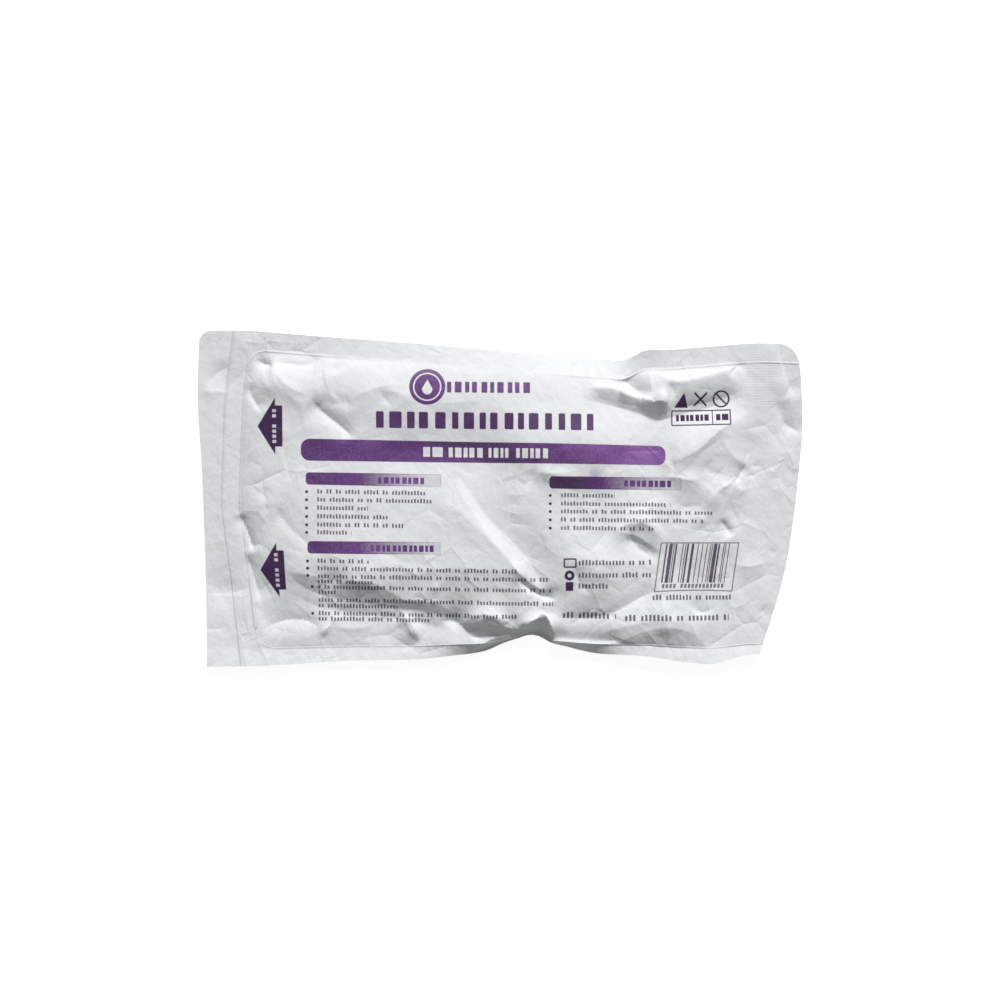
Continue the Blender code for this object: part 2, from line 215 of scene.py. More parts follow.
# The same for creases that run out over the seals to the edge
EDGE_CREASES = (
    (-30, 21, 21, (-100, -51), (-90, -51), (-83, -48)),
    (12, 9, 9, (-87, 99), (-84, 91), (-80, 82)),
    (20, 4, 9, (90, 92), (92, 78), (94, 61)),
    (-13, 6, 6, (90, 59), (94, 44), (99, 39)),
    (9, 6, 6, (66, -67), (67, -87), (66, -99)),
)
CREASE_ROUNDING = 0.35
CREASE_POWER = 1.1

# Sharp folds, too fine for the model's solid, in millimetres from the middle: height (negative
# for a valley), how far the paper falls away to the left and the right, and the path's points
LOOSE_FOLDS = (
    # upper left corner
    (-0.8, 6, 3, (-108.5, 66.5), (-103.5, 61.5), (-98.5, 55.5)),
    (-2.1, 2.2, 1.2, (-98, 56), (-95, 54.5), (-91, 53.5)),
    (-1.15, 3, 5, (-91, 55), (-85, 54.5), (-76.5, 54.5), (-73.5, 56), (-70.5, 56.5)),
    (0.9, 4, 5, (-91, 54.5), (-87, 47.5), (-78, 41.5)),
    (-1.15, 3, 3, (-75.5, 40), (-69.5, 34), (-63.5, 29), (-58.5, 25)),
    (0.8, 3, 3, (-69.5, 54.5), (-69.5, 47), (-65.5, 39)),
    (-0.65, 3, 2, (-67, 54.5), (-65.5, 50.5)),
    (0.9, 6, 8, (-61, 39.5), (-55, 42.5), (-48.5, 45), (-38, 46)),
    (-0.9, 5, 2, (-47.5, 45), (-46, 40.5), (-43, 37)),
    (-0.65, 2, 3, (-61.5, 42), (-60.5, 36)),
    # lower left corner
    (-1.3, 5, 4, (-95, -51.5), (-89, -49), (-82, -48), (-75.5, -49.5), (-71.5, -52)),
    (0.65, 1.5, 2, (-72.5, -55.5), (-70.5, -52), (-67.5, -50)),
    (-0.5, 1.5, 1.5, (-71.5, -57), (-69, -53)),
    (1.7, 2, 4, (-39.5, -45), (-35, -50.5), (-32.5, -56.5)),
    (-0.9, 6, 4, (-86, -28.5), (-81.5, -33), (-74.5, -37), (-65.5, -40)),
    (0.65, 2, 2, (-27, -33), (-24.5, -37)),
    # top pinch
    (-1.8, 5, 2, (48.5, 55.5), (50, 48.5), (53.5, 44.5), (58, 41)),
    (1.3, 4, 4, (58, 60), (59.5, 52), (61, 41)),
    (1.15, 2, 4, (59.5, 39.5), (63, 42), (67, 40), (68.5, 36.5)),
    (-0.65, 2, 2, (67, 47), (69, 44.5), (70, 41)),
    # lower right
    (-1.05, 3, 3, (76, -42), (80.5, -45), (86.5, -43.5)),
    (0.5, 2, 2, (79, -6), (83, -9.5)),
    (-0.65, 3, 3, (82, 13.5), (84.5, 10.5), (87, 11.5)),
    (1.15, 4, 5, (46, -12), (54.5, -14.5), (64.5, -20.5)),
    (0.5, 1.5, 1.5, (88, -57.5), (90.5, -55.5), (92, -57.5)),
    (0.5, 4, 3, (64.5, -49.5), (65.5, -54.5)),
    # bottom gather
    (-1.95, 2.5, 1.5, (7.5, -32), (12.5, -36), (17.5, -38.5), (22, -39.5)),
    (1.05, 3, 2.5, (4, -25), (11, -32), (18, -37)),
    (2.1, 3, 4, (17.5, -45.5), (19.5, -47.5), (21, -52), (21.5, -55)),
    (-1.55, 4, 3, (-24, -48.5), (-20.5, -48.5), (-16, -50), (-10.5, -55)),
    (-1.55, 3, 1.5, (-11.5, -55), (-2.5, -54.5), (6.5, -53)),
    (0.9, 2, 3, (-16, -49.5), (-5.5, -49.5), (6.5, -52)),
    (-1.55, 4, 2, (21.5, -55), (28, -56), (35.5, -56.5), (49, -56.5)),
    (-0.8, 3, 3, (-10.5, -55.5), (-5.5, -60)),
    (-0.8, 3, 2, (30, -26.5), (30.5, -30), (35.5, -37.5)),
    (0.5, 3, 3, (25.5, -27.5), (24, -32), (22.5, -37.5)),
    # long slopes
    (1.8, 14, 5, (66.5, 14), (79, 20), (89, 28.5), (97.5, 33)),
    (-0.6, 5, 3, (-71, -38.5), (-57, -41), (-44, -43), (-25, -46), (-13.5, -49.5)),
    (0.65, 8, 4, (-64, -31.5), (-49, -33.5), (-37, -40.5), (-25, -42)),
    (0.8, 4, 3, (-13.5, -50), (-9, -48.5), (-4, -47), (4, -51)),
    (1.15, 3, 3, (7.5, -52), (12, -49), (18, -46)),
    (0.8, 5, 9, (-19, 8), (-12, -3), (-5.5, -13), (2.5, -22.5), (9, -30.5)),
    (-1.0, 8, 5, (-12, 4), (-5.5, -6), (4, -15.5), (12, -25), (18, -35)),
    (-0.65, 4, 3, (49, -15), (60, -20), (63, -24)),
    (0.9, 3, 7, (50.5, -14.5), (53.5, -10.5), (60, -9), (66.5, -15)),
    (0.8, 5, 6, (45, -58.5), (52, -55), (68, -51), (81, -54.5)),
    (0.8, 3, 5, (13.5, 11), (20, 10.5), (29.5, 11)),
    (-0.5, 2, 3, (14, 12), (12, 8), (11, 4)),
)
# The same for folds that reach into the seals
SEAL_FOLDS = (
    # grip end
    (-0.9, 3, 6, (-118, 46), (-113.5, 51), (-107.5, 54.5)),
    (0.4, 2, 3, (-119.5, 43.5), (-114, 43.5), (-108.5, 43)),
    (-1.05, 3, 1.5, (-100, 46.5), (-100, 42.5), (-98, 39), (-96, 35.5)),
    (1.15, 6, 4, (-96, 51), (-93.5, 46), (-91, 41.5)),
    (-1.3, 2, 2, (-104.5, -6), (-101.5, -13), (-99, -20.5)),
    (-1.05, 4, 2, (-102, -22), (-99, -31), (-96.5, -40)),
    (-0.65, 6, 3, (-118, -37.5), (-107.5, -37), (-100, -35)),
    # upper right corner
    (1.05, 3, 5, (61.5, 51), (71.5, 47.5), (80, 49), (89, 51.5), (97.5, 54)),
    (-0.8, 3, 3, (111.5, 61.5), (115, 50), (118.5, 42)),
    (0.8, 4, 3, (111.5, 39), (118.5, 42)),
    (-0.9, 4, 3, (113, 32), (120.5, 26.5)),
    (-0.9, 2, 2, (92, 50), (95.5, 53.5), (98.5, 54.5)),
    # end seal
    (-0.9, 4, 3, (99, 27.5), (99.5, 21.5), (98.5, 14.5)),
    (-1.55, 2, 2.5, (98.5, 14), (96.5, 10.5), (94, 6.5)),
    (-1.05, 4, 4, (98.5, 14), (102.5, 13.5), (106.5, 14)),
    (0.65, 3, 4, (88.5, 24.5), (92, 19), (98, 14)),
    (1.05, 3, 1.5, (87.5, 3.5), (92, 7)),
    (-0.65, 3, 2, (86, 7.5), (87, 10), (89, 12)),
    (1.3, 4, 7, (83, -3), (85.5, 1.5), (88, 3.5), (91.5, 3)),
    (-1.3, 1.5, 2, (88.5, -8), (91, -11), (93, -14.5)),
    (-0.9, 3, 6, (92, 1.5), (93, -3), (95.5, -8.5), (97, -12)),
    (0.5, 2, 2, (95, 5), (97, 4), (96, 1)),
    (0.9, 4, 4, (94, -26), (101, -26.5), (108, -24.5)),
    (-0.3, 1.5, 1.5, (108, -19), (110, -21), (112, -20.5)),
    (0.3, 1.2, 1.2, (115, 20.5), (117.5, 16.5), (118.5, 11)),
    (-0.5, 2, 3, (103.5, -47), (107.5, -42.5)),
    (0.4, 3, 3, (110.5, 2), (114.5, 4)),
)
FOLD_ROUNDING = 0.2
FOLD_STRENGTH = 1.25
# A fold is felt out to this many times its side
FOLD_FADE = 7

# Steep faces with a sharp crest and a sharp foot: how far the paper above the crest takes to
# fall back, and stations of x, crest and foot in millimetres and of slope
BLUFFS = (
    # below the pinch
    (5, (35.6, 45.5, 45.5, 0.1), (39, 45, 41.4, 0.1), (43, 44.9, 39.4, 0.12), (47.6, 44.5, 38.8, 0.15),
     (49, 43.4, 38.6, 0.4), (54, 41.5, 37.8, 0.45), (58, 40.4, 35.6, 0.5), (61.2, 39.2, 34.6, 0.5),
     (64.1, 39.7, 34.1, 0.5), (66.6, 39, 34.4, 0.4), (68.2, 36, 36, 0.2)),
    # left of the tuck
    (4, (-17.5, -50.5, -50.5, 0.2), (-12, -48, -51.4, 0.15), (-4.5, -46.8, -50, 0.15),
     (-1, -49, -50.4, 0.1), (4, -51.5, -51.5, 0.2)),
)
LEAST_BLUFF = 0.01

# The tuck at the gather: its crest in millimetres, how steeply the paper drops below it, and how far
TUCK_CREST = ((-16, -63), (-9, -59), (-3, -55.5), (4, -53), (10, -50), (14.5, -47.2), (17, -45.6),
              (18.6, -46.4), (20, -50), (21.2, -55.5))
TUCK_SLOPE = 0.9
TUCK_DEPTH = 0.0055

# Small folds strewn all over the paper: how many, and the ranges of their sizes in millimetres
STREWN_SEED = 5
STREWN_COUNT = 170
STREWN_LENGTH = (5, 18)
STREWN_HEIGHT = (0.06, 0.26)
STREWN_SIDE = (1.2, 4.2)
STREWN_IN_SEAL = 0.45


def ease(share):
    """Run smoothly from 0 to 1."""
    share = np.clip(share, 0, 1)
    return share * share * (3 - 2 * share)


def curve(stations, where):
    """A smooth curve through (place, value) stations."""
    places, values = np.asarray(stations, float).T
    tangents = np.gradient(values, places)
    where = np.clip(where, places[0], places[-1])
    i = np.clip(np.searchsorted(places, where) - 1, 0, len(places) - 2)
    run = places[i + 1] - places[i]
    t = (where - places[i]) / run
    start = (2 * t**3 - 3 * t**2 + 1) * values[i] + (t**3 - 2 * t**2 + t) * run * tangents[i]
    end = (3 * t**2 - 2 * t**3) * values[i + 1] + (t**3 - t**2) * run * tangents[i + 1]
    return start + end


def peel_line(v):
    """Distance of the chevron's outer line from the grip edge, pointed in the middle."""
    share = np.hypot(v / HALF_WIDTH, PEEL_POINT_ROUNDING)
    return GRIP_AT_POINT + (GRIP_AT_SIDES - GRIP_AT_POINT) * share


def depths_in_pouch(u, v):
    """How far a place on the flat sheet lies inside each of the four seals; negative in a seal."""
    from_peel = u + HALF_LENGTH - peel_line(v) - PEEL_SEAL
    from_end = HALF_LENGTH - END_SEAL - u
    return from_peel, from_end, HALF_WIDTH - SIDE_SEAL - v, HALF_WIDTH - SIDE_SEAL + v


def depth_in_pouch(u, v):
    """Depth inside the nearest seal line, whose corners are rounded."""
    from_peel, from_end, from_top, from_bottom = depths_in_pouch(u, v)
    along, across = np.minimum(from_peel, from_end), np.minimum(from_top, from_bottom)
    corner = SEAL_CORNER - np.hypot(np.maximum(SEAL_CORNER - along, 0), np.maximum(SEAL_CORNER - across, 0))
    in_corner = (along < SEAL_CORNER) & (across < SEAL_CORNER)
    return np.where(in_corner, corner, np.minimum(along, across))


def filled(u, v, run):
    """From 0 in the seals to 1 in the middle, within a few runs of every seal line."""
    return np.prod([1 - np.exp(-np.maximum(depth, 0) / run) for depth in depths_in_pouch(u, v)], axis=0)


def round_corner(u, v, end, radius):
    """Draw the top corner at one end in to a quarter circle."""
    a = np.maximum(radius - (HALF_LENGTH - end * u), 0)
    b = np.maximum(radius - (HALF_WIDTH - v), 0)
    shrink = np.maximum(a, b) / np.maximum(np.hypot(a, b), 1e-9)
    shrink = np.where((a > 0) & (b > 0), shrink, 1)
    return u - end * a * (1 - shrink), v - b * (1 - shrink)


def reached(reach, place):
    """How much of an edge's shift a place takes up."""
    start, complete = reach
    return ease((place - start) / (complete - start))


def lie_in_plan(u, v):
    """Where a place on the flat sheet lies once the pouch is filled, gathered and pinched."""
    u, v = round_corner(u, v, 1, ROUND_CORNER)
    u, v = round_corner(u, v, -1, CUT_CORNER)
    x = u * (1 - PUCKER / PACK_LENGTH)
    up = v / HALF_WIDTH
    x = x + HALF_LENGTH / 100 * curve(END_EDGE_SHIFT, 100 * up) * reached(END_REACH, x / HALF_LENGTH)
    at_grip = 1 - reached(GRIP_REACH, x / HALF_LENGTH)
    x = x + HALF_LENGTH / 100 * curve(GRIP_EDGE_SHIFT, 100 * up) * at_grip
    along = 100 * x / HALF_LENGTH
    top = curve(TOP_EDGE_SHIFT, along) * reached(TOP_REACH, up)
    in_seal = np.clip((SIDE_SEAL - HALF_WIDTH - v) / SIDE_SEAL, 0, 1)
    bottom = HALF_WIDTH / 100 * curve(BOTTOM_EDGE_SHIFT, along)
    share = np.maximum(GATHER_SHARE, 1 - (SIDE_SEAL - LEAST_FLANGE) / np.maximum(bottom, SIDE_SEAL))
    gathered = share * reached(GATHER_REACH, -up) + (1 - share) * in_seal
    return x, v + HALF_WIDTH / 100 * top + bottom * gathered


def seal_level(x, v):
    """Height of the middle of the sealed papers, and its run underneath the contents."""
    along = 100 * x / HALF_LENGTH
    inner = HALF_WIDTH - SIDE_SEAL
    top_seal, top_edge = curve(TOP_SEAL_LEVEL, along), curve(TOP_EDGE_LEVEL, along)
    bottom_seal, bottom_edge = curve(BOTTOM_SEAL_LEVEL, along), curve(BOTTOM_EDGE_LEVEL, along)
    share = ease((v + inner) / (2 * inner))
    level = top_seal * share + bottom_seal * (1 - share)
    level += (top_edge - top_seal) * np.clip((v - inner) / SIDE_SEAL, 0, 1)
    level += (bottom_edge - bottom_seal) * np.clip((-v - inner) / SIDE_SEAL, 0, 1)
    return level / 100 * FLANGE_LIFT


def in_plan(path):
    """A path given in percentages, in metres."""
    return np.asarray(path, float) / 100 * (HALF_LENGTH, HALF_WIDTH)


def along_and_beside(path, x, y):
    """Places seen from a path's first point: the distance along its chord, and beside it."""
    chord = path[-1] - path[0]
    way = chord / np.hypot(*chord)
    dx, dy = x - path[0, 0], y - path[0, 1]
    return dx * way[0] + dy * way[1], dy * way[0] - dx * way[1]


def bulge_height(bulge, x, y):
    """A soft swelling around a short straight path."""
    height, radius, *path = bulge
    path = in_plan(path)
    along, beside = along_and_beside(path, x, y)
    past_ends = along - np.clip(along, 0, np.hypot(*(path[-1] - path[0])))
    radius = radius / 100 * HALF_WIDTH
    return height / 100 * RELIEF * np.exp(-(past_ends**2 + beside**2) / radius**2)


def ridge(path, sides, rounding, power, x, y):
    """From 1 on a path down to 0 on both sides and past its ends. The sides are the run to the
    left and to the right of the path."""
    along, beside = along_and_beside(path, x, y)
    if len(path) > 2:
        bend = np.column_stack(along_and_beside(path, *path.T))
        beside = beside - curve(bend, along)
    length = np.hypot(*(path[-1] - path[0]))
    away = (np.hypot(beside, rounding) - rounding) / np.where(beside > 0, *sides)
    reach = min(length / 2, sum(sides) / 2)
    ends = ease((along + reach / 2) / (2 * reach)) * ease((length + reach / 2 - along) / (2 * reach))
    return np.exp(-away**power) * ends


def crease_height(crease, x, y):
    """A crest or a valley."""
    height, left, right, *path = crease
    sides = left / 100 * HALF_WIDTH, right / 100 * HALF_WIDTH
    rounding = CREASE_ROUNDING / 100 * HALF_WIDTH
    return height / 100 * RELIEF * ridge(in_plan(path), sides, rounding, CREASE_POWER, x, y)


def fold_height(fold, x, y):
    """A sharp crest or valley, worked out only where it can be felt."""
    height, left, right, *path = fold
    path = np.asarray(path, float) / 1000
    sides = left / 1000, right / 1000
    reach = np.hypot(*(path[-1] - path[0])) / 2 + FOLD_FADE * max(sides)
    middle = (path[0] + path[-1]) / 2
    near = np.maximum(np.abs(x - middle[0]), np.abs(y - middle[1])) < reach
    size = FOLD_STRENGTH * height / 1000
    heights = np.zeros_like(x)
    heights[near] = size * ridge(path, sides, FOLD_ROUNDING / 1000, 1, x[near], y[near])
    return heights


def bluff_height(bluff, x, y):
    """A face that falls from its crest to its foot, with the paper above it raised."""
    x, y = x * 1000, y * 1000
    run, *stations = bluff
    along, *rows = np.transpose(stations)
    crest, foot, slope = (np.interp(x, along, row) for row in rows)
    tall = crest - foot
    share = np.clip((y - foot) / np.maximum(tall, LEAST_BLUFF), 0, 1)
    return slope * tall * share * np.exp(-np.maximum(y - crest, 0) / run) / 1000


def strewn_folds():
    """Small folds in every direction, as paper has once it has been handled."""
    rng = np.random.default_rng(STREWN_SEED)
    folds = []
    for _ in range(STREWN_COUNT):
        start = rng.uniform(-1, 1, 2) * (HALF_LENGTH, HALF_WIDTH) * 1000
        turn = rng.uniform(0, pi)
        end = start + rng.uniform(*STREWN_LENGTH) * np.array((cos(turn), sin(turn)))
        height = rng.choice((-1, 1)) * rng.uniform(*STREWN_HEIGHT)
        folds.append((height, *rng.uniform(*STREWN_SIDE, 2), start, end))
    return folds


def seal_lines(u, v):
    """Distances from the chevron's outer line, and from the line round the pouch, whose long
    sides run on straight through the end seal."""
    from_long_sides = HALF_WIDTH - SIDE_SEAL - np.abs(v)
    return u + HALF_LENGTH - peel_line(v), np.where(u < 0, depth_in_pouch(u, v), from_long_sides)


def rib_strength(u, v):
    """How plainly the long seal lines show along the pouch; they are faint at their corners."""
    along = 100 * u / HALF_LENGTH
    plain = np.where(v > 0, curve(TOP_RIB, along), curve(BOTTOM_RIB, along)) / 100
    from_line = np.abs(v) - HALF_WIDTH + SIDE_SEAL
    ends = SEAL_CORNER - HALF_LENGTH + GRIP_AT_SIDES, HALF_LENGTH - END_SEAL
    in_corner = np.maximum(*(np.exp(-(np.hypot(u - end, from_line) / SEAL_CORNER)**2) for end in ends))
    return np.where(from_line > -SIDE_SEAL, plain, 1) * (1 - RIB_LOST_IN_CORNER * in_corner)


def rib_height(u, v):
    """The low ribs that the sealing bars press along the seal lines."""
    chevron, around = (np.clip(1 - np.abs(line) / RIB_HALF, 0, 1) for line in seal_lines(u, v))
    return RIB_HEIGHT * (chevron + around * rib_strength(u, v))


def tuck_depth(x, y):
    """How far the paper drops below the crest of the tuck at the gather."""
    crest = curve(TUCK_CREST, x * 1000) / 1000
    inside_tuck = (x * 1000 > TUCK_CREST[0][0]) & (x * 1000 < TUCK_CREST[-1][0])
    return np.where(inside_tuck, np.clip((crest - y) * TUCK_SLOPE, 0, TUCK_DEPTH), 0)


def sheet_heights(u, v, x, y):
    """Heights of the printed front and of the plain back."""
    middle = seal_level(x, v) + sum(crease_height(crease, x, y) for crease in EDGE_CREASES)
    strewn = sum(fold_height(fold, x, y) for fold in strewn_folds())
    middle = middle + sum(fold_height(fold, x, y) for fold in SEAL_FOLDS) + STREWN_IN_SEAL * strewn
    middle = np.maximum(middle - tuck_depth(x, y), PAPER_PAIR)
    relief = sum(bulge_height(bulge, x, y) for bulge in BULGES)
    relief = relief + sum(crease_height(crease, x, y) for crease in CREASES)
    relief = relief * filled(u, v, CREASE_RUN) + BELLY_RISE * filled(u, v, BELLY_RUN)
    folds = sum(fold_height(fold, x, y) for fold in LOOSE_FOLDS) + (1 - STREWN_IN_SEAL) * strewn
    folds = folds + sum(bluff_height(bluff, x, y) for bluff in BLUFFS)
    relief = relief + folds * filled(u, v, FOLD_RUN)
    front = middle + PAPER_PAIR / 2 + relief + rib_height(u, v)
    back = np.maximum(middle - PAPER_PAIR / 2 - BACK_SAG * filled(u, v, BACK_RUN), 0)
    return np.maximum(front, back + PAPER_PAIR), back


def grid_lines(stops, steps):
    """Places between stops, each stretch in even steps, with a line either side of each
    inner stop where a rib rises and falls. Stops may be arrays."""
    lines = [stops[0]]
    for k, count in enumerate(steps):
        start = stops[k] + (RIB_HALF if k else 0)
        end = stops[k + 1] - (RIB_HALF if k + 1 < len(steps) else 0)
        if k:
            lines.append(start)
        lines += [start + (end - start) * n / count for n in range(1, count + 1)]
        if k + 1 < len(steps):
            lines.append(stops[k + 1])
    return lines


def flat_sheet():
    """The flat sheet's grid, with its lines along the seal lines."""
    inner = HALF_WIDTH - SIDE_SEAL
    across = np.array(grid_lines([-HALF_WIDTH, -inner, inner, HALF_WIDTH], ACROSS_STEPS))
    peel = peel_line(across) - HALF_LENGTH
    edge = np.full_like(across, HALF_LENGTH)
    u = np.array(grid_lines([-edge, peel, peel + PEEL_SEAL, edge - END_SEAL, edge], ALONG_STEPS))
    return u, np.broadcast_to(across, u.shape)


def middle_of(places):
    """The middle of the range of places."""
    return (places.min() + places.max()) / 2


def ring_of(columns, rows):
    """Index pairs once round the rim of a grid."""
    ring = [(i, 0) for i in range(columns - 1)] + [(columns - 1, j) for j in range(rows - 1)]
    ring += [(i, rows - 1) for i in range(columns - 1, 0, -1)]
    return ring + [(0, j) for j in range(rows - 1, 0, -1)]


def quads(numbers, up=True):
    """The quads between a grid's vertex numbers, facing up or down."""
    corners = [numbers[:-1, :-1], numbers[1:, :-1], numbers[1:, 1:], numbers[:-1, 1:]]
    return np.stack(corners if up else corners[::-1], -1).reshape(-1, 4).tolist()


def surface(u, v):
    """The front and the back, as points above the flat sheet's places."""
    x, y = lie_in_plan(u, v)
    front, back = sheet_heights(u, v, x, y)
    return np.stack([x, y, front], -1), np.stack([x, y, back], -1)


# Distance over which a normal is taken
NORMAL_STEP = 0.00015


def front_normals(u, v, front):
    """The front's exact normals, so that each fold stays as sharp as the grid allows."""
    step_u, step_v = (-NORMAL_STEP * np.where(places < 0, -1, 1) for places in (u, v))
    along, across = surface(u + step_u, v)[0] - front, surface(u, v + step_v)[0] - front
    normals = np.cross(along, across)
    normals *= np.sign(normals[..., 2:])
    return normals / np.linalg.norm(normals, axis=-1, keepdims=True)


def every_so_many(grid):
    """The lowest of the heights round each place that the back keeps, so that no fold of the
    front reaches through it."""
    padded = np.pad(grid, BACK_STRIDE, mode="edge")
    columns, rows = grid.shape
    window = range(2 * BACK_STRIDE + 1)
    lowest = np.min([padded[i:i + columns, j:j + rows] for i in window for j in window], axis=0)
    return lowest[::BACK_STRIDE, ::BACK_STRIDE]


def pouch_mesh():
    """Front in a fine grid, back in a coarser one, joined all round at the rim."""
    u, v = flat_sheet()
    front, back = surface(u, v)
    normals = front_normals(u, v, front)
    shift = middle_of(front[..., 0]), middle_of(front[..., 1])
    lowest = every_so_many(back[..., 2])
    back = back[::BACK_STRIDE, ::BACK_STRIDE].copy()
    back[..., 2] = lowest
    upper = np.arange(u.size).reshape(u.shape)
    lower = u.size + np.arange(lowest.size).reshape(lowest.shape)
    points = np.concatenate([front.reshape(-1, 3), back.reshape(-1, 3)]) - (*shift, 0)
    faces = quads(upper) + quads(lower, up=False)
    rim = [int(upper[place]) for place in ring_of(*upper.shape)]
    rim_below = [int(lower[place]) for place in ring_of(*lower.shape)]
    for k, near in enumerate(rim_below):
        far = rim_below[(k + 1) % len(rim_below)]
        over = [rim[(k * BACK_STRIDE + n) % len(rim)] for n in range(BACK_STRIDE + 1)]
        half = BACK_STRIDE // 2
        faces += [(over[n], near if n < half else far, over[n + 1]) for n in range(BACK_STRIDE)]
        faces.append((over[half], near, far))
    mesh = bpy.data.meshes.new("pouch")
    mesh.from_pydata(points.tolist(), [], faces)
    lay_out_map(mesh, u.size)
    mark_seals(mesh, u, v)
    mesh.shade_smooth()
    normals = np.concatenate([normals.reshape(-1, 3), np.zeros((lower.size, 3))])
    mesh.normals_split_custom_set_from_vertices(normals.tolist())
    return mesh, shift


# Share of the square map's height that the front takes, and the gap round front and back
FRONT_SHARE = 0.56
MAP_GAP = 0.006


def lay_out_map(mesh, first_back):
    """The front over the back on one square map."""
    places = np.empty(len(mesh.vertices) * 3)
    mesh.vertices.foreach_get("co", places)
    places = places.reshape(-1, 3)[:, :2]
    share = (places - places.min(0)) / np.ptp(places, axis=0)
    across = MAP_GAP + (1 - 2 * MAP_GAP) * share[:, 0]
    front = 1 - FRONT_SHARE + (FRONT_SHARE - MAP_GAP) * share[:, 1]
    back = MAP_GAP + (1 - FRONT_SHARE - 2 * MAP_GAP) * share[:, 1]
    corners = np.empty(len(mesh.loops), int)
    mesh.loops.foreach_get("vertex_index", corners)
    starts = np.empty(len(mesh.polygons), int)
    mesh.polygons.foreach_get("loop_start", starts)
    counts = np.diff(np.append(starts, len(corners)))
    touches_back = np.repeat(np.maximum.reduceat(corners, starts) >= first_back, counts)
    height = np.where(touches_back, back[corners], front[corners])
    layer = mesh.uv_layers.new(name="map")
    layer.data.foreach_set("uv", np.column_stack([across[corners], height]).ravel())


# How far either side of a seal line the paper is pressed and darkened, partly its own grey and partly
# painted shade of the rib
PRESSED = 0.0012


def mark_seals(mesh, u, v):
    """Where the paper is pressed along the seal lines, which its material darkens partly as painted shade
    of the ribs, and where it is sealed, for its material.
    """
    lines = seal_lines(u, v)
    chevron, around = (np.clip(1 - np.abs(line) / PRESSED, 0, 1) for line in lines)
    pressed = np.maximum(chevron, around * rib_strength(u, v))
    sealed = (depth_in_pouch(u, v) < 0) & (lines[0] > 0)
    for name, values in (("pressed", pressed), ("sealed", sealed.astype(float))):
        layer = mesh.attributes.new(name, "FLOAT", "POINT")
        both = np.concatenate([values.ravel(), values[::BACK_STRIDE, ::BACK_STRIDE].ravel()])
        layer.data.foreach_set("value", both)


class Value:
    """A shader socket that Python's operators work on."""

    def __init__(self, paint, socket):
        self.paint, self.socket = paint, socket

    def __rsub__(self, other):
        return self.paint.math("SUBTRACT", other, self)

    def __neg__(self):
        return self * -1

    def clipped(self):
        return self.least(1).most(0)

    def part(self):
        """What is left over a whole number."""
        return self - self.floor()


def by_node(operation):
    """A method of Value that adds a Math node."""
    return lambda value, *others: value.paint.math(operation, value, *others)


for method, operation in {"__add__": "ADD", "__radd__": "ADD", "__sub__": "SUBTRACT", "__mul__": "MULTIPLY",
                          "__rmul__": "MULTIPLY", "__truediv__": "DIVIDE", "__abs__": "ABSOLUTE",
                          "__gt__": "GREATER_THAN", "__lt__": "LESS_THAN", "least": "MINIMUM",
                          "most": "MAXIMUM", "floor": "FLOOR"}.items():
    setattr(Value, method, by_node(operation))


class Paint:
    """The nodes of a material or of the world."""

    def __init__(self, owner, shader="Principled BSDF"):
        owner.use_nodes = True
        self.owner, self.tree = owner, owner.node_tree
        self.shader = self.tree.nodes[shader]

    def node(self, kind, settings=None, inputs=None, output=0):
        """A node of a type, with its settings first and then its sockets' values or links."""
        made = self.tree.nodes.new(kind)
        for name, value in (settings or {}).items():
            if name == "stops":
                set_stops(made.color_ramp, value)
            else:
                setattr(made, name, value)
        for name, value in (inputs or {}).items():
            if isinstance(value, Value):
                self.tree.links.new(value.socket, made.inputs[name])
            else:
                made.inputs[name].default_value = value
        return Value(self, made.outputs[output])

    def math(self, operation, *operands):
        return self.node("ShaderNodeMath", {"operation": operation}, dict(enumerate(operands)))

    def place(self):
        """The place on the object in metres, as three values."""
        position = self.node("ShaderNodeTexCoord", output="Object")
        return [self.node("ShaderNodeSeparateXYZ", inputs={0: position}, output=k) for k in range(3)]

    def vector(self, x, y, z=0.0):
        return self.node("ShaderNodeCombineXYZ", inputs={0: x, 1: y, 2: z})

    def noise(self, vector, scale, detail=2.0, roughness=0.5):
        """Soft noise, from 0 to 1 with 0.5 as its mean."""
        inputs = {"Vector": vector, "Scale": scale, "Detail": detail, "Roughness": roughness}
        return self.node("ShaderNodeTexNoise", inputs=inputs)

    def random(self, x, y):
        """A random value for each pair of whole numbers."""
        inputs = {"Vector": self.vector(x, y)}
        return self.node("ShaderNodeTexWhiteNoise", {"noise_dimensions": "2D"}, inputs)

    def attribute(self, name):
        return self.node("ShaderNodeAttribute", {"attribute_name": name}, output="Fac")

    def seen(self):
        """1 for what the camera sees, also in a mirror or through glass, and 0 for plain light."""
        rays = ("Is Camera Ray", "Is Glossy Ray", "Is Transmission Ray")
        return sum(self.node("ShaderNodeLightPath", output=ray) for ray in rays).clipped()

    def blend(self, factor, first, second):
        """Two colours mixed."""
        inputs = {0: factor, 6: first, 7: second}
        return self.node("ShaderNodeMix", {"data_type": "RGBA"}, inputs, output=2)

    def feed(self, name, value):
        """Link a value, or set a number, on the shader."""
        if isinstance(value, Value):
            self.tree.links.new(value.socket, self.shader.inputs[name])
        else:
            self.shader.inputs[name].default_value = value


def set_stops(ramp, stops):
    """Give a ramp its colours, each from its place up to the next."""
    ramp.interpolation = "CONSTANT"
    while len(ramp.elements) < len(stops):
        ramp.elements.new(1)
    for element, (place, colour) in zip(ramp.elements, stops):
        element.position = place
        element.color = (*colour, 1)


# Ink and paper
PAPER = (0.815, 0.826, 0.834, 1)
PAPER_THIN = (0.745, 0.760, 0.772, 1)
INK = (0.098, 0.027, 0.155, 1)
# Dark ink, which also paints the shade over the banner's words and the bars' left ends
INK_DARK_AND_SHADE = (0.042, 0.015, 0.065, 1)
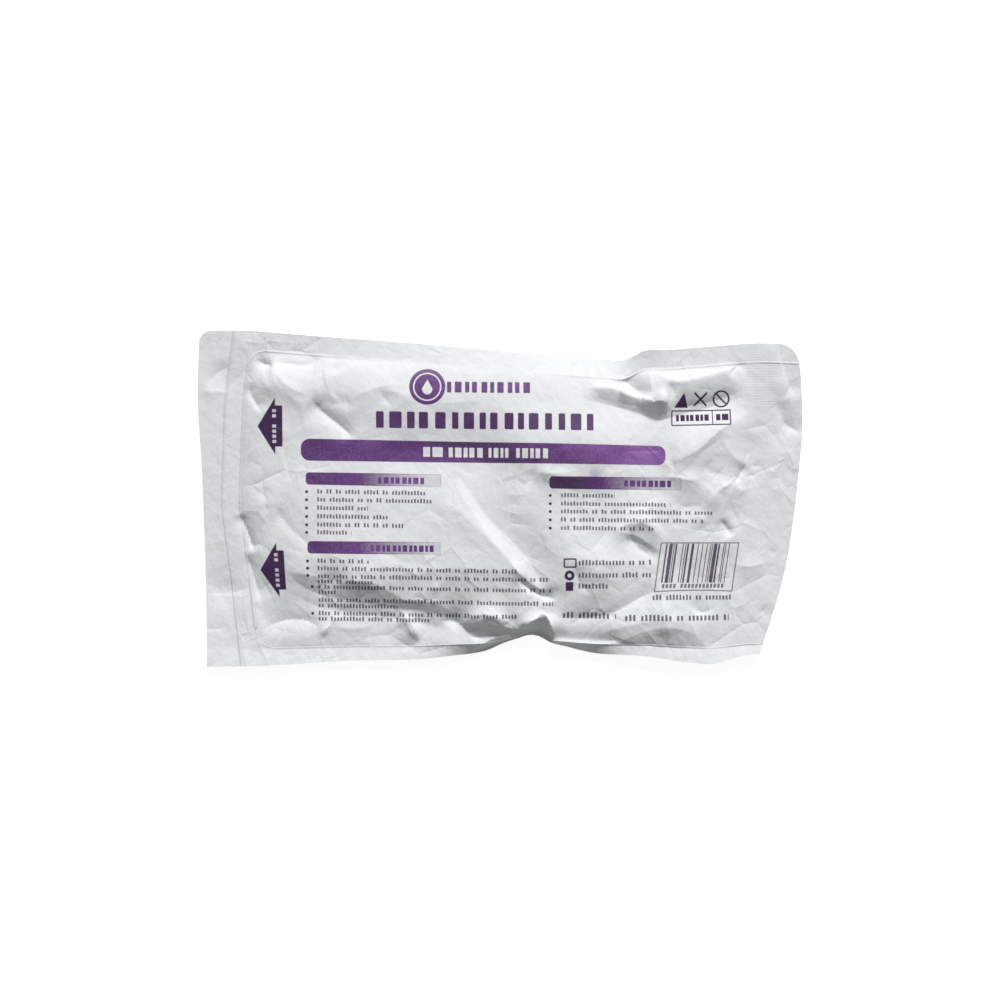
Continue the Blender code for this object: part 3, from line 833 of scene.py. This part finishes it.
# Lighter purple, for thinner ink and for the painted sheen on the banner's right end
INK_THIN_AND_SHEEN = (0.330, 0.150, 0.450, 1)
# Paper along the seal lines: pressed paper's own grey, and painted shade of the low ribs there
PAPER_PRESSED_AND_SHADED = (0.50, 0.515, 0.53, 1)
SMUDGE = (0.10, 0.20, 0.55, 1)

# Softness of a printed edge, in millimetres
INK_EDGE = 0.25


def inside(distance, edge=INK_EDGE):
    """1 inside a shape and 0 outside, from a signed distance in millimetres."""
    return (0.5 - distance / edge).clipped()


def box(x, y, half_x, half_y, rounding=0.0):
    """Signed distance from a box about the origin, with rounded corners."""
    a, b = abs(x) - (half_x - rounding), abs(y) - (half_y - rounding)
    over_a, over_b = a.most(0), b.most(0)
    outer = x.paint.math("SQRT", over_a * over_a + over_b * over_b)
    return outer + a.most(b).least(0) - rounding


def disc(x, y, radius):
    """Signed distance from a disc about the origin."""
    return x.paint.math("SQRT", x * x + y * y) - radius


def span(value, low, high, edge=INK_EDGE):
    """1 between two bounds."""
    return inside(abs(value - (low + high) / 2) - (high - low) / 2, edge)


def together(shapes):
    """Several masks as one."""
    total = shapes[0]
    for shape in shapes[1:]:
        total = total.most(shape)
    return total


# Type is set in plain blocks, one for a letter. Each size is (pitch, height) in millimetres.
SMALL_TYPE = (1.25, 2.0)
LABEL_TYPE = (1.35, 2.5)
DATE_TYPE = (1.6, 2.9)
TYPE_TONE = 0.88
# A letter's half width in pitches, its half height in heights, and what a tall one has more
LETTER_HALF_WIDTH = 0.27
LETTER_HALF_HEIGHT = 0.34
TALLER = 0.13
# Shares of the letters that are tall, and of the groups of three that start with a gap
TALL_LETTERS = 0.35
LETTERS_IN_GROUP = 3
WORD_GAPS = 0.33
# Small type: left, tilt, size, then the middle and the end of each line, from the top
TYPE_BLOCKS = (
    (-73.4, 0.017, SMALL_TYPE, (3.3, -29.6), (0.1, -27.0), (-3.2, -52.8), (-6.6, -44.9), (-9.9, -38.4),
     (-13.0, -59.2)),
    (-73.2, 0.016, SMALL_TYPE, (-24.4, -52.4), (-27.4, 7.2), (-30.6, 19.6), (-32.7, -50.4), (-34.9, 20.4),
     (-37.1, -64.0), (-40.2, 21.2), (-42.5, -41.2), (-45.6, 7.5), (-47.8, -28.0)),
    (24.0, 0.012, SMALL_TYPE, (1.8, 45.7), (-1.5, 68.3), (-4.6, 85.4), (-7.9, 81.7), (-11.2, 61.2)),
    (31.0, 0.0, LABEL_TYPE, (-25.1, 60.8), (-30.1, 60.4), (-34.5, 43.4)),
    (60.8, 0.0, LABEL_TYPE, (-39.2, 94.0)),
    (24.8, 0.02, DATE_TYPE, (-46.2, 46.4)),
    (49.7, 0.0, DATE_TYPE, (-47.4, 92.0)),
)
# Bullets: x, tilt and the middle of each
BULLETS = (
    (-77.4, 0.017, 3.3, 0.1, -3.2, -6.6, -9.9, -13.0),
    (-77.0, 0.0, -24.4, -27.3, -30.2),
    (-75.4, 0.0, -34.8, -45.6),
    (20.0, 0.012, 1.8, -1.5, -4.6, -7.9, -11.2),
)
BULLET_RADIUS = 0.6

# The banner: its middle, tilt, half length and half width, rounding, and how much it narrows
BANNER_MIDDLE = (-6.5, 18.97)
BANNER_TILT = 0.0168
BANNER_HALF = (73.0, 4.15)
BANNER_ROUNDING = 3.4
BANNER_NARROWS = 0.0038

# Larger words: height, tilt, gap, then left, right, middle and number of letters of each
TITLE = (6.6, 0.014, 2.1, (-49.6, -22.4, 32.2, 5), (-19.2, 20.4, 31.8, 8), (23.3, 37.2, 31.2, 3))
EMBLEM_WORD = (4.4, 0.01, 1.3, (-21.2, 11.6, 45.2, 10))
BANNER_WORDS = (3.9, BANNER_TILT, 0.8, (-30.8, -23.4, 19.3, 2), (-20.6, -7.2, 19.1, 5),
                (-4.6, 3.6, 18.9, 4), (6.4, 18.8, 18.7, 5))
SIGN_WORDS = (2.6, -0.02, 0.5, (70.6, 83.6, 32.8, 7), (86.6, 91.2, 33.2, 2))
# How unevenly their blocks are spaced, in pitches, how fast that changes, and their rounding
UNEVEN = 0.12
UNEVEN_TURN = 2.4
BLOCK_ROUNDING = 0.1
# Share of the darker ink in the title
TITLE_DARK = 0.6

# Heading bars: left, right, middle and tilt, and left, right, middle and letters of the word
HEADING_BARS = (
    (-77.8, -23.6, 8.65, 0.0166, (-48.8, -30.4, 7.9, 8)),
    (-77.1, -23.7, -18.9, 0.008, (-51.6, -26.4, -19.3, 12)),
    (19.6, 72.6, 7.0, 0.012, (49.6, 68.4, 6.6, 8)),
)
BAR_HALF = 2.5
BAR_WORD_HEIGHT = 2.7
BAR_WORD_GAP = 0.6
# Where a bar starts to fade and how far that takes, in lengths, and its tint when it has faded
FADE_START = 0.40
FADE_RUN = 0.52
FADED = 0.20

# Peel arrows: tip, length of the head, its half width, and how far it leans
ARROWS = (((-97.2, 29.6), 7.2, 11.4, 0.0), ((-96.4, -28.1), 7.2, 11.0, 0.055))
# An arrow's block: half its length, and its half width in the head's half widths
BLOCK_HALF = 1.9
BLOCK_SHARE = 0.72
ARROW_PITCH = 2.05

# The emblem: its middle, its radius, the white ring in it, and the drop and how low it hangs
EMBLEM = (-29.1, 45.3)
EMBLEM_RADIUS = 7.2
EMBLEM_RING = 5.4
DROP_RADIUS = 2.0
DROP_LOW = 1.1

# Middles of the plain signs and of the frame of bars, and the pitch of the bars and figures
TRIANGLE = (72.6, 37.0)
CROSS = (80.4, 40.4)
STRUCK_RING = (88.8, 40.6)
SIGN_FRAME = (80.6, 33.0)
CONTACT_SIGNS = ((27.9, -25.1), (27.7, -30.1), (27.7, -34.5))
BARS = (78.9, -26.7)
BARS_LEAN = 0.138
BAR_PITCH = 0.36
FIGURE_PITCH = 1.5

# Painted shade over the banner's words, where the paper slopes away from the light: the ends of that
# stretch, and its lean
SHADED_STRETCH = (-18, 16)
SHADED_LEAN = 2.6
SHADE_IN_BANNER = 0.65
# Left ends where the ink is darker too, partly deeper ink and partly painted shade: left, middle, how far
# in, and how much darker
DEEP_AND_SHADED_ENDS = ((-79.5, 20, 16, 0.4), (-77.8, 8.2, 14, 0.4), (-77.1, -19, 18, 0.5), (19.6, 6.7, 26, 0.95))


class Print:
    """The pouch's print, in millimetres on the plan, X to the right and Y up."""

    def __init__(self, paint, shift):
        self.paint = paint
        x, y, z = paint.place()
        self.x, self.y, self.z = x * 1000 + shift[0] * 1000, y * 1000 + shift[1] * 1000, z * 1000

    def at(self, x, y, tilt=0.0):
        """Coordinates from a place, on lines that fall by tilt to the right."""
        across = self.x - x
        return across, self.y - y + across * tilt

    def grain(self, scale, detail=2.0):
        """Soft noise over the print, from -0.5 to 0.5."""
        return self.paint.noise(self.paint.vector(self.x, self.y), scale, detail) - 0.5

    def word(self, left, right, middle, count, height, tilt, gap):
        """One larger word: count plain blocks of uneven width."""
        x, y = self.at(left, middle, tilt)
        pitch = (right - left + gap) / count
        x = x + self.paint.math("SINE", x * (UNEVEN_TURN / pitch)) * (UNEVEN * pitch)
        local = x - (x / pitch).floor() * pitch - (pitch - gap) / 2
        shape = inside(box(local, y, (pitch - gap) / 2, height / 2, BLOCK_ROUNDING * pitch))
        return shape * span(x, -0.1, right - left + 0.1)

    def words(self, height, tilt, gap, *words):
        """The words of a heading."""
        return together([self.word(*word, height, tilt, gap) for word in words])

    def lines(self, left, tilt, size, *rows):
        """Lines of small type, which one ramp up the block gives their ends and middles."""
        pitch, height = size
        longest = max(end for middle, end in rows) - left
        top, bottom = rows[0][0] + height, rows[-1][0] - height
        x, y = self.at(left, 0, tilt)
        stops = [(0.0, (0, 0, 0))]
        for middle, end in reversed(rows):
            share = (middle - bottom) / (top - bottom)
            half = 0.5 * height / (top - bottom)
            stops.append((share - half, ((end - left) / longest, share, 0)))
            stops.append((share + half, (0, 0, 0)))
        ramp = self.paint.node("ShaderNodeValToRGB", {"stops": stops}, {0: (y - bottom) / (top - bottom)})
        end, middle = (self.paint.node("ShaderNodeSeparateColor", None, {0: ramp}, k) for k in (0, 1))
        letter, row = (x / pitch).floor(), (middle * 997).floor()
        group = (letter + row) / LETTERS_IN_GROUP
        gap = (self.paint.random(group.floor(), row) < WORD_GAPS) * (group.part() < 0.2) * (letter > 0.5)
        tall = self.paint.random(letter, row) < TALL_LETTERS
        local_x = x - (letter + 0.5) * pitch
        local_y = y - bottom - middle * (top - bottom) - tall * (TALLER * height)
        half = LETTER_HALF_HEIGHT * height + tall * (TALLER * height)
        block = inside((abs(local_x) - LETTER_HALF_WIDTH * pitch).most(abs(local_y) - half))
        return block * (x > 0) * (x < end * longest) * (1 - gap) * TYPE_TONE

    def bullets(self, x, tilt, *middles):
        """Round bullets down the left of the lines."""
        marks = [disc(*self.at(x, middle, tilt), BULLET_RADIUS) for middle in middles]
        nearest = marks[0]
        for mark in marks[1:]:
            nearest = nearest.least(mark)
        return inside(nearest)

    def banner(self):
        """The long band, which narrows a little where the paper slopes away."""
        x, y = self.at(*BANNER_MIDDLE, BANNER_TILT)
        band = inside(box(x, y, *BANNER_HALF, BANNER_ROUNDING) + x * BANNER_NARROWS)
        return band * (1 - self.words(*BANNER_WORDS))

    def arrow(self, tip, base, half, slant):
        """A peel arrow with a line of type in white up its block."""
        y = self.y - tip[1]
        x = self.x - tip[0] + y * slant
        head = ((abs(y) - x * (half / base)) * (base / (half**2 + base**2)**0.5)).most(x - base)
        block = box(x - base - 1.0, y, BLOCK_HALF, half * BLOCK_SHARE, 0.2)
        upward = y + 1.03
        letter = (upward / ARROW_PITCH).floor()
        type_line = inside(box(x - base + 0.4, upward - (letter + 0.5) * ARROW_PITCH, 0.75, 0.62, 0.1))
        type_line = type_line * span(upward, -3 * ARROW_PITCH, 4 * ARROW_PITCH) * (abs(letter - 1) > 0.5)
        return inside(head.least(block)) * (1 - type_line * 0.8)

    def heading_bar(self, left, right, middle, tilt):
        """A bar that fades from full ink to a pale tint, with square pale corners."""
        x, y = self.at(left, middle, tilt)
        length = right - left
        rounded = inside(box(x - 20, y, 20, BAR_HALF, 1.6)).most(x > 10)
        shape = inside(box(x - length / 2, y, length / 2, BAR_HALF, 0.15)) * rounded
        edge = shape * (1 - inside(box(x - length / 2, y, length / 2 - 0.3, BAR_HALF - 0.3, 0.15))) * 0.22
        fade = 1 - (x - FADE_START * length) / (FADE_RUN * length)
        tone = (fade + self.grain(1.6) * 0.5 * (fade < 1)).clipped() * (1 - FADED) + FADED
        return (shape * tone + edge).clipped()

    def emblem(self):
        """A plain disc with a ring and a drop left white."""
        x, y = self.at(*EMBLEM)
        up = y + DROP_LOW
        drop = disc(x, up, DROP_RADIUS).least((abs(x) * 0.87 + up * 0.5 - DROP_RADIUS).most(-up))
        ring = abs(disc(x, y, EMBLEM_RING)) - 0.28
        return inside(disc(x, y, EMBLEM_RADIUS)) * (1 - inside(drop)) * (1 - inside(ring))

    def bar_code(self):
        """A frame of upright bars in no code at all."""
        x, y = self.at(*BARS)
        x = x - y * BARS_LEAN
        frame = inside(abs(box(x, y + x * x * 0.002 * (y < 0), 15.7, 9.5, 0.3)) - 0.22)
        bar, figure = (x / BAR_PITCH).floor(), x / FIGURE_PITCH
        bars = (self.paint.random(bar, 7.0) > 0.5) * ((bar / 5).part() > 0.1)
        bars = bars * span(x, -13.6, 13.6) * span(y, -6.5, 9.2)
        number = (self.paint.random(figure.floor(), 3.0) > 0.1) * (figure.part() > 0.35)
        number = number * span(x, -14.2, 12.5) * span(y, -8.6, -6.9)
        return together([frame * 0.8, bars * 0.9, number * 0.8])

    def signs(self):
        """Plain signs at the upper right: a triangle, two crossed strokes, a struck ring, a frame."""
        x, y = self.at(*TRIANGLE)
        x = x - y * 0.2
        marks = [inside((abs(x) * 0.9 + y * 0.42 - 2.5).most(-y).most(y - 5.8))]
        x, y = self.at(*CROSS)
        for way in (1, -1):
            marks.append(inside((abs(x * 0.71 + y * (0.71 * way)) - 0.4).most(abs(x) - 2.6)))
        x, y = self.at(*STRUCK_RING)
        ring = abs(disc(x, y, 3.1)) - 0.35
        strike = (abs(x * 0.71 + y * 0.71) - 0.35).most(disc(x, y, 3.0))
        marks.append(inside(ring.least(strike)))
        x, y = self.at(*SIGN_FRAME, -0.02)
        divider = (abs(x - 4.6) - 0.2).most(abs(y) - 2.9)
        marks.append(inside((abs(box(x, y, 11.7, 2.9, 0.2)) - 0.25).least(divider)))
        return together([*marks, self.words(*SIGN_WORDS)])

    def contact_signs(self):
        """Small plain signs in front of three lines."""
        upper, middle, lower = (self.at(*place) for place in CONTACT_SIGNS)
        marks = inside(abs(box(*upper, 2.3, 1.6, 0.3)) - 0.3)
        marks = marks.most(inside(disc(*middle, 2.0)) * (1 - inside(disc(*middle, 0.8))))
        return marks.most(inside(box(*lower, 1.5, 1.8, 0.3)))

    def dark_ink(self):
        """Where the darker ink lies: arrows, small type, signs and bars, and partly the title."""
        shapes = [self.arrow(*arrow) for arrow in ARROWS]
        shapes += [self.bullets(*row) for row in BULLETS]
        shapes += [self.lines(*block) for block in TYPE_BLOCKS]
        shapes += [self.contact_signs(), self.bar_code(), self.signs()]
        return together([*shapes, self.words(*TITLE) * TITLE_DARK])

    def ink(self):
        """Where the lighter ink lies: banner, title, emblem and headings."""
        shapes = [self.banner(), self.words(*TITLE), self.emblem(), self.words(*EMBLEM_WORD)]
        for *bar, word in HEADING_BARS:
            shapes += [self.heading_bar(*bar), self.word(*word, BAR_WORD_HEIGHT, bar[-1], BAR_WORD_GAP)]
        return together(shapes)

    def on_banner(self):
        """1 over the height of the banner."""
        return span(self.y, 13, 25, 2)

    def thin_ink_and_sheen(self):
        """How much lighter the ink is: painted sheen towards the banner's right end, and thinner ink in
        soft patches.
        """
        painted_sheen_to_right = (self.x / 60.0).clipped() * self.on_banner() * 0.55
        return (painted_sheen_to_right + self.grain(0.06, 1.0) * 1.2 + self.grain(1.3) * 0.9).clipped()

    def deep_ink_and_shade(self):
        """How much darker the ink is: painted shade over the banner's words, and at the left ends of the
        bars partly deeper ink and partly painted shade.
        """
        leaning = self.x + (self.y - 19) * SHADED_LEAN
        deep_and_shade = span(leaning, *SHADED_STRETCH, 16) * self.on_banner() * SHADE_IN_BANNER
        for left, middle, run, share in DEEP_AND_SHADED_ENDS:
            x = self.x - left
            fading = ((1 - x / run) * 1.5).clipped()
            deep_and_shade = deep_and_shade.most(fading * span(x, -1, run) * span(self.y, middle - 4.5, middle + 4.5) * share)
        return deep_and_shade

    def smudge(self):
        """A blue part of the contents that shows faintly through the paper."""
        x, y = self.at(38.2, 8.0)
        return (1 - disc(x * 0.8 + y * 0.15, y * 0.42, 0.0) / 2.6).clipped() * 0.6


# The mesh that the sealing bar presses into the end seal: its pitch, and where it lies
MESH_PITCH = 1.1
MESH_ALONG = (98.5, 111.5)
MESH_UP = (36.5, 62.5)


def pressed_mesh(paint, x, y):
    """Fine mesh that the sealing bar presses into the upper part of the end seal."""
    across, upward = (paint.math("SINE", value * (2 * pi / MESH_PITCH)) for value in (x, y))
    return across.most(upward) * span(x, *MESH_ALONG, 1.5) * span(y, *MESH_UP, 2.0)


# Calm stretches of the paper: their middle, half length and half width in millimetres
CALM = ((-15, 38, 80, 24), (-58, -8, 34, 22), (-112, 10, 14, 60), (105, 55, 20, 20))
CALM_CORE = 0.55
CRUMPLES_IN_CALM = 0.25


def crumpled(x, y):
    """From CRUMPLES_IN_CALM in the calm stretches to 1 outside them."""
    share = 1
    for across, up, half_length, half_width in CALM:
        away = disc((x - across) / half_length, (y - up) / half_width, CALM_CORE)
        share = (away / (1 - CALM_CORE)).clipped() * share
    return share * (1 - CRUMPLES_IN_CALM) + CRUMPLES_IN_CALM


# Straight little folds that are finer than the mesh: how many to a millimetre, how stretched,
# which way they run in degrees, and in millimetres their height and the run of their sides
CRUMPLES = ((0.045, 1.5, 25, -0.36, 2.4), (0.07, 1.3, 110, 0.27, 1.9), (0.11, 1.5, 65, -0.14, 1.2))
# Distance between the three patterns, so that they differ
APART = 300
# How many patches of them to a millimetre, and the share of the paper that stays without
CRUMPLE_PATCHES = 0.05
WITHOUT_CRUMPLES = 0.48


def crumples(paint, x, y):
    """Height of small straight folds in all directions, of which each soon fades out."""
    total = 0
    for k, (scale, stretch, turn, height, side) in enumerate(CRUMPLES):
        along = x * cos(radians(turn)) + y * sin(radians(turn))
        across = y * cos(radians(turn)) - x * sin(radians(turn))
        places = paint.vector(along + APART * k, across * stretch)
        settings = {"feature": "DISTANCE_TO_EDGE", "voronoi_dimensions": "2D"}
        away = paint.node("ShaderNodeTexVoronoi", settings, {"Vector": places, "Scale": scale})
        strength = ((paint.noise(places, CRUMPLE_PATCHES, 0.0) - WITHOUT_CRUMPLES) * 6).clipped()
        total = total + paint.math("EXPONENT", away / (-scale * side)) * strength * height
    return total * crumpled(x, y)


# The paper's clouds, crinkles and fibres: how many to a millimetre, and their height in millimetres
CLOUD, CLOUD_HEIGHT = 0.24, 0.35
CREPE, CREPE_HEIGHT = 0.75, 0.07
FIBRE, FIBRE_HEIGHT = 2.4, 0.02
MESH_HEIGHT = 0.025


def printed_paper(shift):
    """White medical paper, cloudy and slightly fibrous, printed in one purple ink."""
    paint = Paint(bpy.data.materials.new("printed_medical_paper"))
    printing = Print(paint, shift)
    x, y = printing.x, printing.y
    leaning = paint.vector(x + y * 0.5, y * 0.75 - x * 0.35, printing.z)
    normal = paint.node("ShaderNodeNewGeometry", output="Normal")
    faces_up = paint.node("ShaderNodeSeparateXYZ", inputs={0: normal}, output=2) > 0
    cloud = paint.noise(leaning, CLOUD, 2.0)
    crepe = paint.noise(leaning, CREPE, 3.0, 0.6)
    fibre = paint.noise(leaning, FIBRE, 2.0)
    pressed, sealed = paint.attribute("pressed"), paint.attribute("sealed")
    mesh = pressed_mesh(paint, x, y)
    thin = (cloud - 0.5) * 0.8 + (crepe - 0.5) * 0.8 + (fibre - 0.5) * 0.5 + sealed * 0.06 + 0.3
    paper = paint.blend((thin + mesh.most(0) * 0.25).clipped(), PAPER, PAPER_THIN)
    # Darker along the seal lines: partly pressed paper's grey, partly painted shade of the ribs
    paper = paint.blend(pressed * 0.28, paper, PAPER_PRESSED_AND_SHADED)
    paper = paint.blend(printing.smudge(), paper, SMUDGE)
    worn = ((fibre - 0.60) * 5).clipped() * 0.16 + ((crepe - 0.58) * 4).clipped() * 0.06
    ink = printing.ink() * (1 - worn) * faces_up
    dark = printing.dark_ink() * (1 - worn * 0.6) * faces_up
    # Lighter purple: painted sheen towards the banner's right end, and thinner ink in soft patches
    purple = paint.blend(printing.thin_ink_and_sheen(), INK, INK_THIN_AND_SHEEN)
    # Darker purple: painted shade over the banner's words, and partly deeper ink, partly painted shade at
    # the bars' left ends
    purple = paint.blend(printing.deep_ink_and_shade(), purple, INK_DARK_AND_SHADE)
    paint.feed("Base Color", paint.blend(dark, paint.blend(ink, paper, purple), INK_DARK_AND_SHADE))
    paint.feed("Roughness", 0.75 - ink * (1 - dark) * 0.2)
    paint.feed("Coat Weight", ink * 0.2)
    paint.feed("Coat Roughness", 0.45)
    paint.feed("Specular IOR Level", 0.3)
    height = cloud * CLOUD_HEIGHT + crepe * CREPE_HEIGHT + fibre * FIBRE_HEIGHT + mesh * MESH_HEIGHT
    height = height + crumples(paint, x, y)
    paint.feed("Normal", paint.node("ShaderNodeBump", inputs={"Distance": 0.001, "Height": height}))
    return paint.owner


def add_pouch():
    """The dressed pouch, in place of the plain solid, and how far its plan is shifted."""
    mesh, shift = pouch_mesh()
    mesh.materials.append(printed_paper(shift))
    pouch = bpy.data.objects.new("printed_pouch", mesh)
    bpy.context.collection.objects.link(pouch)
    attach(pouch, "root")
    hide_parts("sealed_pouch")
    return shift


# The floor's own white, the glow that makes it white to the camera, its size and its gap to the pouch
FLOOR_WHITE = 0.6
FLOOR_GLOW = 0.86
FLOOR_SIZE = 4.0
FLOOR_GAP = 0.0002


def floor_white():
    """White to the camera, and still darker where the pouch shades it."""
    paint = Paint(bpy.data.materials.new("floor_white"))
    paint.feed("Base Color", (FLOOR_WHITE, FLOOR_WHITE, FLOOR_WHITE, 1))
    paint.feed("Roughness", 0.9)
    glow = paint.node("ShaderNodeEmission", inputs={"Strength": paint.seen() * FLOOR_GLOW})
    surface = Value(paint, paint.shader.outputs[0])
    both = paint.node("ShaderNodeAddShader", inputs={0: surface, 1: glow})
    paint.tree.links.new(both.socket, paint.tree.nodes["Material Output"].inputs["Surface"])
    return paint.owner


def add_floor():
    """A plain floor just under the pouch."""
    bpy.ops.mesh.primitive_plane_add(size=FLOOR_SIZE, location=(0, 0, -FLOOR_GAP))
    floor = bpy.context.object
    floor.name = "floor"
    floor.data.materials.append(floor_white())


# Key light: the direction that it comes from, its strength and softness; and the even fill
KEY_AZIMUTH = 78
KEY_ELEVATION = 40
KEY_STRENGTH = 3.26
KEY_ANGLE = 12
FILL = 0.18


def add_light():
    """One soft light from beyond the pouch's top edge, and an even fill that the camera sees as white."""
    lamp = bpy.data.lights.new("key", "SUN")
    lamp.energy = KEY_STRENGTH
    lamp.angle = radians(KEY_ANGLE)
    key = bpy.data.objects.new("key", lamp)
    key.rotation_euler = (0, radians(90 - KEY_ELEVATION), radians(KEY_AZIMUTH))
    bpy.context.collection.objects.link(key)
    world = Paint(bpy.data.worlds.new("studio"), "Background")
    world.feed("Color", (1, 1, 1, 1))
    world.feed("Strength", world.seen() * (1 - FILL) + FILL)
    bpy.context.scene.world = world.owner


CAMERA_HEIGHT = 0.9
FRAME_WIDTH = 0.4
SENSOR = 36
PAPER_LEVEL = 0.009


def add_camera(shift):
    """Straight above the middle of the photograph's frame."""
    data = bpy.data.cameras.new("camera")
    data.sensor_width = SENSOR
    data.lens = SENSOR * (CAMERA_HEIGHT - PAPER_LEVEL) / FRAME_WIDTH
    camera = bpy.data.objects.new("camera", data)
    camera.location = (-shift[0], -shift[1], CAMERA_HEIGHT)
    bpy.context.collection.objects.link(camera)
    bpy.context.scene.camera = camera


bpy.context.scene.view_settings.view_transform = "Standard"
plan_shift = add_pouch()
add_floor()
add_light()
add_camera(plan_shift)
